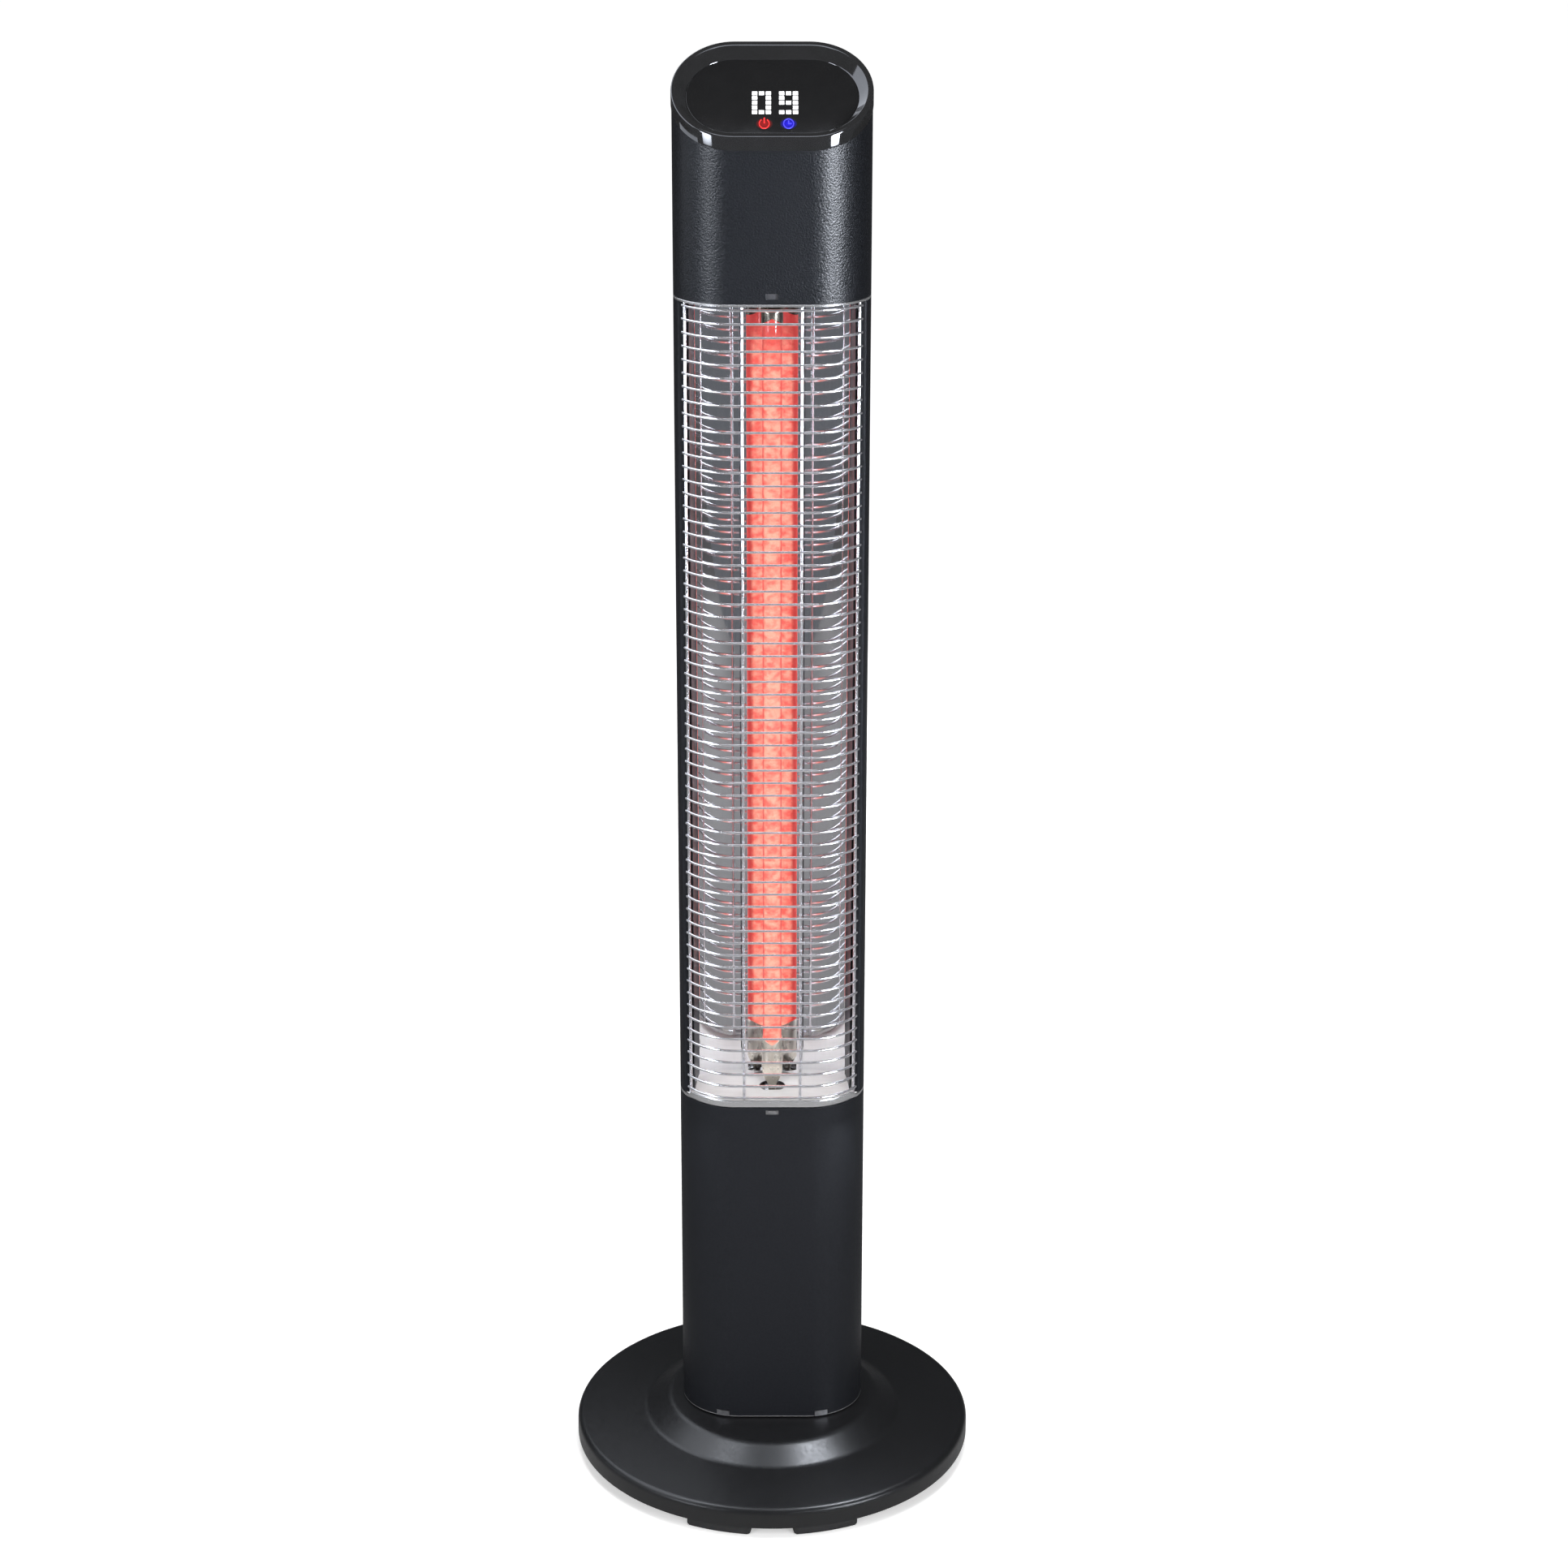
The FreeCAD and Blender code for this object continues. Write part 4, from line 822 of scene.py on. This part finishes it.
def upright_sheet(path, gap=lambda x: 0):
    """An open path swept up from floor to ceiling. Its faces look to the right of the path."""
    count = len(path)
    verts = [(x, y, FLOOR_Z + gap(x)) for x, y in path] + [(x, y, CEILING_Z) for x, y in path]
    faces = [(index, index + 1, count + index + 1, count + index) for index in range(count - 1)]
    return verts, faces


def bend(radius, start, end, steps):
    """Points on the tower's right bend, from one angle to another."""
    turns = [start + (end - start) * step / steps for step in range(steps + 1)]
    return [(CORNER_X + radius * cos(turn), radius * sin(turn)) for turn in turns]


right = [(68.9, SHELL_FRONT), (73.6, SHELL_FRONT), (74.7, -19.95), (75.6, -19.6), (76.2, -19)]
right += bend(BEND, asin(-18.2 / BEND), pi / 2, 36)
shell_path = right + [(-x, y) for x, y in reversed(right)]
shell = new_piece("shell_skin", *upright_sheet(shell_path), column_coat, "black_steel",
                  ["rear_shell"])
thicken(shell, SHELL_WALL)
bevel(shell, 0.3)

# %% [markdown]
# ## Mirror
# Behind the lamp stands a folded sheet of bright aluminium: a shallow V that throws the lamp's own
# image left and right, a step, and a bowed wing on each side that ends in a flange. The flanges
# take a dark grey that is painted shade. The wings are arcs through three points, so the
# reflections bend as they do on the real sheet. The V's foot is cut in a low arch. The finish is a
# metal with faint upright rolling marks.

# %% Mirror sheet
MIRROR_WALL, MIRROR_SHARP = 0.8, 12
WING_START, WING_END = (27.4, 26.05), (63, 16.6)
ARCH = 5


def arc_through(first, middle, last, steps):
    """Points of the circle through three plan points, without its first point."""
    (ax, ay), (bx, by), (cx, cy) = first, middle, last
    d = 2 * (ax * (by - cy) + bx * (cy - ay) + cx * (ay - by))
    aa, bb, cc = (x * x + y * y for x, y in (first, middle, last))
    ux = (aa * (by - cy) + bb * (cy - ay) + cc * (ay - by)) / d
    uy = (aa * (cx - bx) + bb * (ax - cx) + cc * (bx - ax)) / d
    radius = hypot(ax - ux, ay - uy)
    start = atan2(ay - uy, ax - ux)
    end = atan2(cy - uy, cx - ux)
    if end > start:
        end -= 2 * pi
    turns = [start + (end - start) * step / steps for step in range(1, steps + 1)]
    return [(ux + radius * cos(turn), uy + radius * sin(turn)) for turn in turns]


def foot_gap(x):
    """The V stands clear of the tray in a low arch."""
    return ARCH * max(1 - (x / WING_START[0]) ** 2, 0)


mirror_metal = mottled("mirror_metal", (0.9, 0.9, 0.92), (0.94, 0.94, 0.96), 60, (0.02, 0.05),
                       1, stretch=(8, 8, 0.4))
half = [(0.35, 16.85), (5.56, 15.18), (10.78, 13.5), (15.99, 11.83), (21.2, 10.15), (21.7, 10.3),
        (21.85, 10.8), (26.6, 25.3), (26.9, 25.8), WING_START]
half += arc_through(WING_START, (45.5, 23.9), WING_END, 26)
half += arc_through(half[-1], (63.9, 15.8), (64.3, 14.6), 8)
half += arc_through(half[-1], (65.9, 0), (66.8, -17.3), 10)
mirror_path = [(-x, y) for x, y in reversed(half)] + half
mirror = new_piece("mirror_sheet", *upright_sheet(mirror_path, foot_gap), mirror_metal,
                   "mirror_aluminium", ["reflector"], sharp=MIRROR_SHARP)
thicken(mirror, MIRROR_WALL, MIRROR_SHARP)
# Painted shade: the outer flanges take the dark grey, though they are the same bright sheet.
patch(mirror, painted_shade_dark, lambda x, y, z: abs(x) > WING_END[0] + 0.4 and y < WING_END[1] - 0.5)

# %% [markdown]
# ## Guard
# Sixty-three bent wires cross the window, welded to four uprights. A wire is a small circle carried
# along a path. The path here is the same obround as the tower, a little smaller, and one wire's
# mesh is repeated at each height.

# %% Guard wires
HOOPS, HOOP_LOW, HOOP_HIGH = 63, 355, 1037
HOOP_BEND, HOOP_R, HOOP_END = 48.5, 1.1, -24
end_angle = asin(HOOP_END / HOOP_BEND)


def tube(path, radius, sides):
    """A round wire along plan points at z 0, with flat ends."""
    rings = []
    for index, (x, y) in enumerate(path):
        before = Vector(path[max(index - 1, 0)])
        after = Vector(path[min(index + 1, len(path) - 1)])
        ahead = (after - before).normalized()
        rings.append([(x - ahead.y * out, y + ahead.x * out, up)
                      for out, up, _ in circle(radius, 0, sides)])
    return capped_loft(rings)


wire_chrome = mottled("wire_chrome", (0.84, 0.84, 0.87), (0.92, 0.92, 0.95), 160, (0.17, 0.24),
                      0.92)
quarter = bend(HOOP_BEND, -pi / 2, end_angle, 18)
hoop_path = [(-x, y) for x, y in reversed(quarter)] + quarter
hoop_verts, hoop_faces = tube(hoop_path, HOOP_R, 12)
heights = [HOOP_LOW + (HOOP_HIGH - HOOP_LOW) * index / (HOOPS - 1) for index in range(HOOPS)]
hoops = [([(x, y, z + up) for x, y, up in hoop_verts], hoop_faces) for z in heights]
new_piece("guard_wires", *merge(hoops), wire_chrome, "chrome_wire", ["grille_hoops"])

# %% Guard uprights
ROD_BEND, ROD_R, ROD_X = 46.25, 1.35, 24
rod_end = (CORNER_X + ROD_BEND * cos(end_angle), ROD_BEND * sin(end_angle))
profile = [(0.8, FLOOR_Z), (1, FLOOR_Z + 0.4), (1, CEILING_Z - 0.4), (0.8, CEILING_Z)]
rods = []
for x, y in [(ROD_X, -ROD_BEND), rod_end]:
    for side in (-1, 1):
        rings = [circle(ROD_R * share, z, 16, side * x, y) for share, z in profile]
        rods.append(capped_loft(rings))
new_piece("guard_uprights", *merge(rods), wire_chrome, "chrome_wire", ["grille_rods"])

# %% [markdown]
# ## Lamp
# The lamp is a quartz tube with a glowing carbon element, held in nickel end sleeves whose ends are
# pinched flat into a fish tail. The tube is a turned shell that glows salmon, in paler and redder
# blotches that are painted shade of the guard's wires, with its flanks painted darker as shade. The
# sleeves are lofts whose last rings go over from a circle to a flat bar. The upper one sits in the
# rising heat, which has darkened its nickel.

# %% Glowing tube and element
LAMP_LOW, LAMP_HIGH, GLASS_R = 384, 1029, 8
STRAND_R, STRAND_STEPS, STEPS_A_TURN = 1.5, 215, 18


def quartz_finish():
    """Glows salmon, deep red at its top; blotches and flanks are painted shade."""
    finish = glow_finish("quartz_glow", (0.98, 0.3, 0.22), 1, (0.35, 0.06, 0.05))
    tree = finish.node_tree
    where = add_node(tree, "ShaderNodeTexCoord").outputs
    facing = add_node(tree, "ShaderNodeSeparateXYZ", {0: where["Normal"]}).outputs["X"]
    height = add_node(tree, "ShaderNodeSeparateXYZ", {0: where["Object"]}).outputs["Z"]
    # Painted shade: the glow darkens on the tube's flanks, and its blotches stand for the shade of
    # the guard's wires.
    flank = combine(tree, "MULTIPLY", facing, facing)
    cloud = vary(tree, noise(tree, 120, (1, 1, 1.5), 4), 0, 1, 0.36, 0.62)
    blotches = blend(tree, cloud, (0.92, 0.13, 0.1), (1, 0.43, 0.31))
    across = blend(tree, vary(tree, flank, 0, 1, 0.58, 0.94), blotches, (0.46, 0.03, 0.03))
    along = blend(tree, vary(tree, height, 0, 1, 0.98, 1.014), across, (0.38, 0.03, 0.03))
    coat(finish, {"Roughness": 0.07, "Emission Color": along})
    return finish


profile = [(GLASS_R - 1, LAMP_LOW), (GLASS_R - 0.1, LAMP_LOW), (GLASS_R, LAMP_LOW + 0.3)]
profile += [(GLASS_R, z) for z in range(400, 1001, 20)]
profile += [(GLASS_R, LAMP_HIGH - 0.3), (GLASS_R - 0.1, LAMP_HIGH), (GLASS_R - 1, LAMP_HIGH)]
new_piece("quartz_tube", *loft([circle(*pair, 40, 0, LAMP_Y) for pair in profile]),
          quartz_finish(), "lamp_glass", ["lamp_tube"])
element_glow = glow_finish("element_glow", (1, 0.55, 0.35), 1.6, (0.4, 0.2, 0.1))
section = [(corner * pi / 4, STRAND_R * (1 if corner % 4 else 0.6)) for corner in range(8)]
strand = []
for step in range(STRAND_STEPS + 1):
    z = LAMP_LOW + (LAMP_HIGH - LAMP_LOW) * step / STRAND_STEPS
    turn = 2 * pi * step / STEPS_A_TURN
    strand.append([(size * cos(turn + corner), LAMP_Y + size * sin(turn + corner), z)
                   for corner, size in section])
new_piece("carbon_strand", *capped_loft(strand), element_glow, "lamp_glow", ["lamp_element"])

# %% Sleeves with pinched ends
SLEEVE_R, SLEEVE_BORE, BORE_DEPTH, VEE = 9, 8.1, 9.8, 5
FLAT_HALF, FLAT_ROUNDNESS = 1.5, 7


def pinched(z, half_x, half_y, roundness=2, vee=0):
    """An outline between a circle and a flat bar; a vee moves its front and back along the tube."""
    power = 2 / roundness
    return [(half_x * copysign(abs(c) ** power, c), LAMP_Y + half_y * copysign(abs(s) ** power, s),
             z + vee * (1 - abs(c))) for c, s, _ in circle(1, 0, 48)]


def sleeve(name, node, finish, mouth, throat, flat, end, tip):
    """A sleeve from its notched mouth, past its throat, to its flat, whose end narrows to a tip."""
    way = 1 if end > mouth else -1
    neck = throat - way * 2
    rings = [pinched(mouth + way * BORE_DEPTH, SLEEVE_BORE, SLEEVE_BORE)]
    for size, inward in [(SLEEVE_BORE, 0), (SLEEVE_R - 0.2, 0), (SLEEVE_R, 0.3)]:
        rings.append(pinched(mouth + way * inward, size, size, vee=way * VEE))
    rings.append(pinched(neck, SLEEVE_R, SLEEVE_R))
    for step in range(1, 11):
        ease = smooth_step(step / 10)
        half_x = SLEEVE_R - (SLEEVE_R - tip) * ease ** 3
        half_y = SLEEVE_R - (SLEEVE_R - FLAT_HALF) * ease
        roundness = 2 + (FLAT_ROUNDNESS - 2) * ease
        rings.append(pinched(neck + (flat - neck) * step / 10, half_x, half_y, roundness))
    rings += [pinched(end - way * 0.5, tip, FLAT_HALF, FLAT_ROUNDNESS),
              pinched(end, tip - 0.4, FLAT_HALF - 0.4, FLAT_ROUNDNESS)]
    new_piece(name, *capped_loft(rings), finish, "nickel", [node])


sleeve_nickel = mottled("sleeve_nickel", (0.76, 0.71, 0.62), (0.86, 0.81, 0.72), 120,
                        (0.24, 0.34), 0.72)
heated_nickel = mottled("heated_nickel", (0.22, 0.2, 0.18), (0.38, 0.35, 0.3), 160,
                        (0.16, 0.28), 0.9)
sleeve("sleeve_lower", "lamp_cap_lower", sleeve_nickel,
       mouth=394, throat=370, flat=347, end=334, tip=3.2)
sleeve("sleeve_upper", "lamp_cap_upper", heated_nickel,
       mouth=1019, throat=1030, flat=1036, end=1054, tip=9)

# %% [markdown]
# ## Screws that show
# Four screws hold the column from behind, and four hold the bottom plate. Each is a pan head with a
# cross recess. The recess is cut with a boolean, and the finished mesh is copied to each place.

# %% Screws
CROSS_LONG, CROSS_WIDE, CROSS_LEAST = 1.6, 0.32, 0.25
RING, SEAT = 156, 12
BACK_PLACES = [(x, BEND, z) for x in (-20, 20) for z in (50, 343)]
BASE_PLACES = [(0, -RING, SEAT), (RING, 0, SEAT), (0, RING, SEAT), (-RING, 0, SEAT)]


def screw_mesh():
    """A pan-head screw along +Z, its head's seat at z 0 and its head above."""
    profile = [(1.2, -8), (1.5, -7.6), (1.5, 0), (2.6, 0), (2.8, 0.25), (2.75, 0.9), (2.4, 1.5),
               (1.7, 1.88), (0.8, 2)]
    blank = loose_mesh("screw_blank", *capped_loft([circle(*pair, 32) for pair in profile]))
    bars = []
    for long_x, long_y in ((CROSS_LONG, CROSS_WIDE), (CROSS_WIDE, CROSS_LONG)):
        rings = []
        for z, share in ((0.7, 0.45), (2.4, 1.05)):
            x, y = max(long_x * share, CROSS_LEAST), max(long_y * share, CROSS_LEAST)
            rings.append([(*corner, z) for corner in rectangle(-x, -y, x, y)])
        bars.append(loose_mesh("driver", *capped_loft(rings)))
        cut(blank, "cross", bars[-1])
    mesh = modified_mesh(blank)
    verts = [tuple(vert.co / MM) for vert in mesh.vertices]
    faces = [tuple(face.vertices) for face in mesh.polygons]
    for item in [blank] + bars:
        bpy.data.objects.remove(item)
    return verts, faces


def set_screws(name, places, turn, body, node):
    """Copies of the screw at places, each turned by a function of its points."""
    verts, faces = screw_mesh()
    turned = [turn(*vert) for vert in verts]
    copies = [([(x + a, y + b, z + c) for a, b, c in turned], faces) for x, y, z in places]
    new_piece(name, *merge(copies), zinc, "zinc_steel", [node], body)


zinc = mottled("zinc", (0.42, 0.42, 0.43), (0.56, 0.56, 0.55), 900, (0.26, 0.42), 1)
set_screws("column_pan_heads", BACK_PLACES, lambda x, y, z: (x, z, -y), "tower", "column_screws")
set_screws("base_pan_heads", BASE_PLACES, lambda x, y, z: (x, -y, -z), "base", "base_screws")

# %% [markdown]
# ## Pieces that keep their solids
# The rest is inside or underneath and already has its right shape, so it keeps its own mesh and
# gets a finish and, where it can be seen, a Bevel modifier. Each finish has its own grain: cast
# iron is coarse, moulded plastic fine, and the heat sink is brushed one way.

# %% Finishes of the inner pieces
def plain(name, dark, light, scale, rough, metallic=0, bump=0.00003, stretch=(1, 1, 1)):
    finish = mottled(name, dark, light, scale, rough, metallic, stretch=stretch)
    grain(finish, scale * 3, bump, stretch, 0.4)
    return finish


def dress(finish, *names):
    """Gives solids a finish in place of their own."""
    for name in names:
        materials = nodes[name].data.materials
        materials.clear()
        materials.append(finish)
    print("%-16s on" % finish.name, *names)


dress(plain("plate_steel", (0.05, 0.05, 0.052), (0.07, 0.07, 0.072), 200, (0.45, 0.6), 0.6),
      "base_bottom_plate")
dress(plain("ballast_iron", (0.06, 0.055, 0.05), (0.11, 0.1, 0.09), 300, (0.6, 0.8), 0.5, 0.0002),
      "base_ballast")
dress(plain("foot_casting", (0.2, 0.2, 0.21), (0.28, 0.28, 0.29), 300, (0.35, 0.5), 0.8, 0.00008),
      "column_foot")
dress(plain("brass_pillar", (0.55, 0.4, 0.15), (0.65, 0.48, 0.2), 300, (0.25, 0.4), 1),
      "board_standoffs")
dress(plain("sink_aluminium", (0.6, 0.6, 0.61), (0.7, 0.7, 0.71), 200, (0.35, 0.5), 1,
            stretch=(1, 8, 1)), "heat_sink")
dress(zinc, "gear_screws", "motor_screws", "swing_motor", "tip_spring", "board_screws",
      "thermal_cutout")

# %% Plastics, porcelain and boards
dress(plain("bearing_plastic", (0.7, 0.69, 0.64), (0.78, 0.77, 0.72), 200, (0.35, 0.45)),
      "bearing_bush", "swivel_gear", "drive_pinion")
dress(plain("dark_moulding", (0.015, 0.015, 0.016), (0.022, 0.022, 0.023), 300, (0.4, 0.55)),
      "cord_gland", "tip_switch_housing", "remote_receiver", "loom_grommets", "relay")
dress(plain("pale_moulding", (0.55, 0.55, 0.52), (0.65, 0.65, 0.62), 250, (0.4, 0.55)),
      "terminal_block", "tip_plunger")
# Painted shade: the lamp holders take a dark brown, so the lower one looks shaded down the lamp's
# hole.
dress(plain("porcelain_painted_shade", (0.02, 0.013, 0.011), (0.032, 0.021, 0.018), 150, (0.2, 0.35)),
      "lamp_holder_lower", "lamp_holder_upper")
dress(plain("loom_sleeve", (0.02, 0.02, 0.02), (0.04, 0.04, 0.04), 1500, (0.6, 0.8), 0, 0.0002,
            (1, 1, 0.3)), "wiring_loom")
dress(plain("board_green", (0.01, 0.09, 0.03), (0.02, 0.13, 0.05), 900, (0.3, 0.45)),
      "display_board", "control_board")
dress(plain("digit_block", (0.6, 0.6, 0.6), (0.7, 0.7, 0.7), 300, (0.3, 0.4)), "led_digits")

# %% Eased edges on the solids that show
bevel(nodes["column_foot"], 0.3, 40)
bevel(nodes["cord_gland"], 0.4, 40)
print("edges eased: column foot, cord gland")

# %% [markdown]
# ## Feet
# Four curved rubber feet lift the base. Each is moulded with rounded edges, and thicker at both
# ends, where it shows under the rim. A foot is a cross-section carried along an arc: the section's
# outer side moves out near the ends, and the first and last sections shrink to round them off.

# %% Rubber feet
FOOT_IN, FOOT_OUT, FOOT_WAIST, FOOT_TOP, FOOT_GAP = 150, 168, 158, 12, 18.5
FOOT_EDGE = [(0, 2.6), (0.8, 0.8), (2.6, 0)]
END_ROUND, WAIST_FROM, WAIST_FADE = 0.9, 25.6, 2


def foot_section(angle, outer, shrink):
    """Cross-section of a foot at an angle in degrees, in millimetres."""
    low, inner, outer = shrink, FOOT_IN + shrink, outer - shrink
    corners = [(inner, FOOT_TOP), (outer, FOOT_TOP)]
    corners += [(outer - side, low + up) for side, up in FOOT_EDGE]
    corners += [(inner + side, low + up) for side, up in reversed(FOOT_EDGE)]
    c, s = cos(radians(angle)), sin(radians(angle))
    return [(reach * c, reach * s, z) for reach, z in corners]


def foot(quarter):
    """One foot, between two gaps that lie a quarter turn apart."""
    start = degrees(asin(FOOT_GAP / FOOT_OUT))
    full = start + END_ROUND
    steps = [(start, 2.6), (start + 0.25, 0.8), (full, 0)]
    steps += [(full + (45 - full) * step / 40, 0) for step in range(1, 41)]
    steps += [(90 - angle, shrink) for angle, shrink in reversed(steps[:-1])]
    sections = []
    for angle, shrink in steps:
        share = smooth_step((min(angle, 90 - angle) - WAIST_FROM) / WAIST_FADE)
        outer = FOOT_OUT + (FOOT_WAIST - FOOT_OUT) * share
        sections.append(foot_section(angle + 90 * quarter, outer, shrink))
    return capped_loft(sections)


foot_rubber = plain("foot_rubber", (0.015, 0.015, 0.0155), (0.022, 0.022, 0.023), 500, (0.6, 0.75))
new_piece("rubber_feet", *merge([foot(quarter) for quarter in range(4)]), foot_rubber,
          "foot_rubber", ["base_feet"], "base")
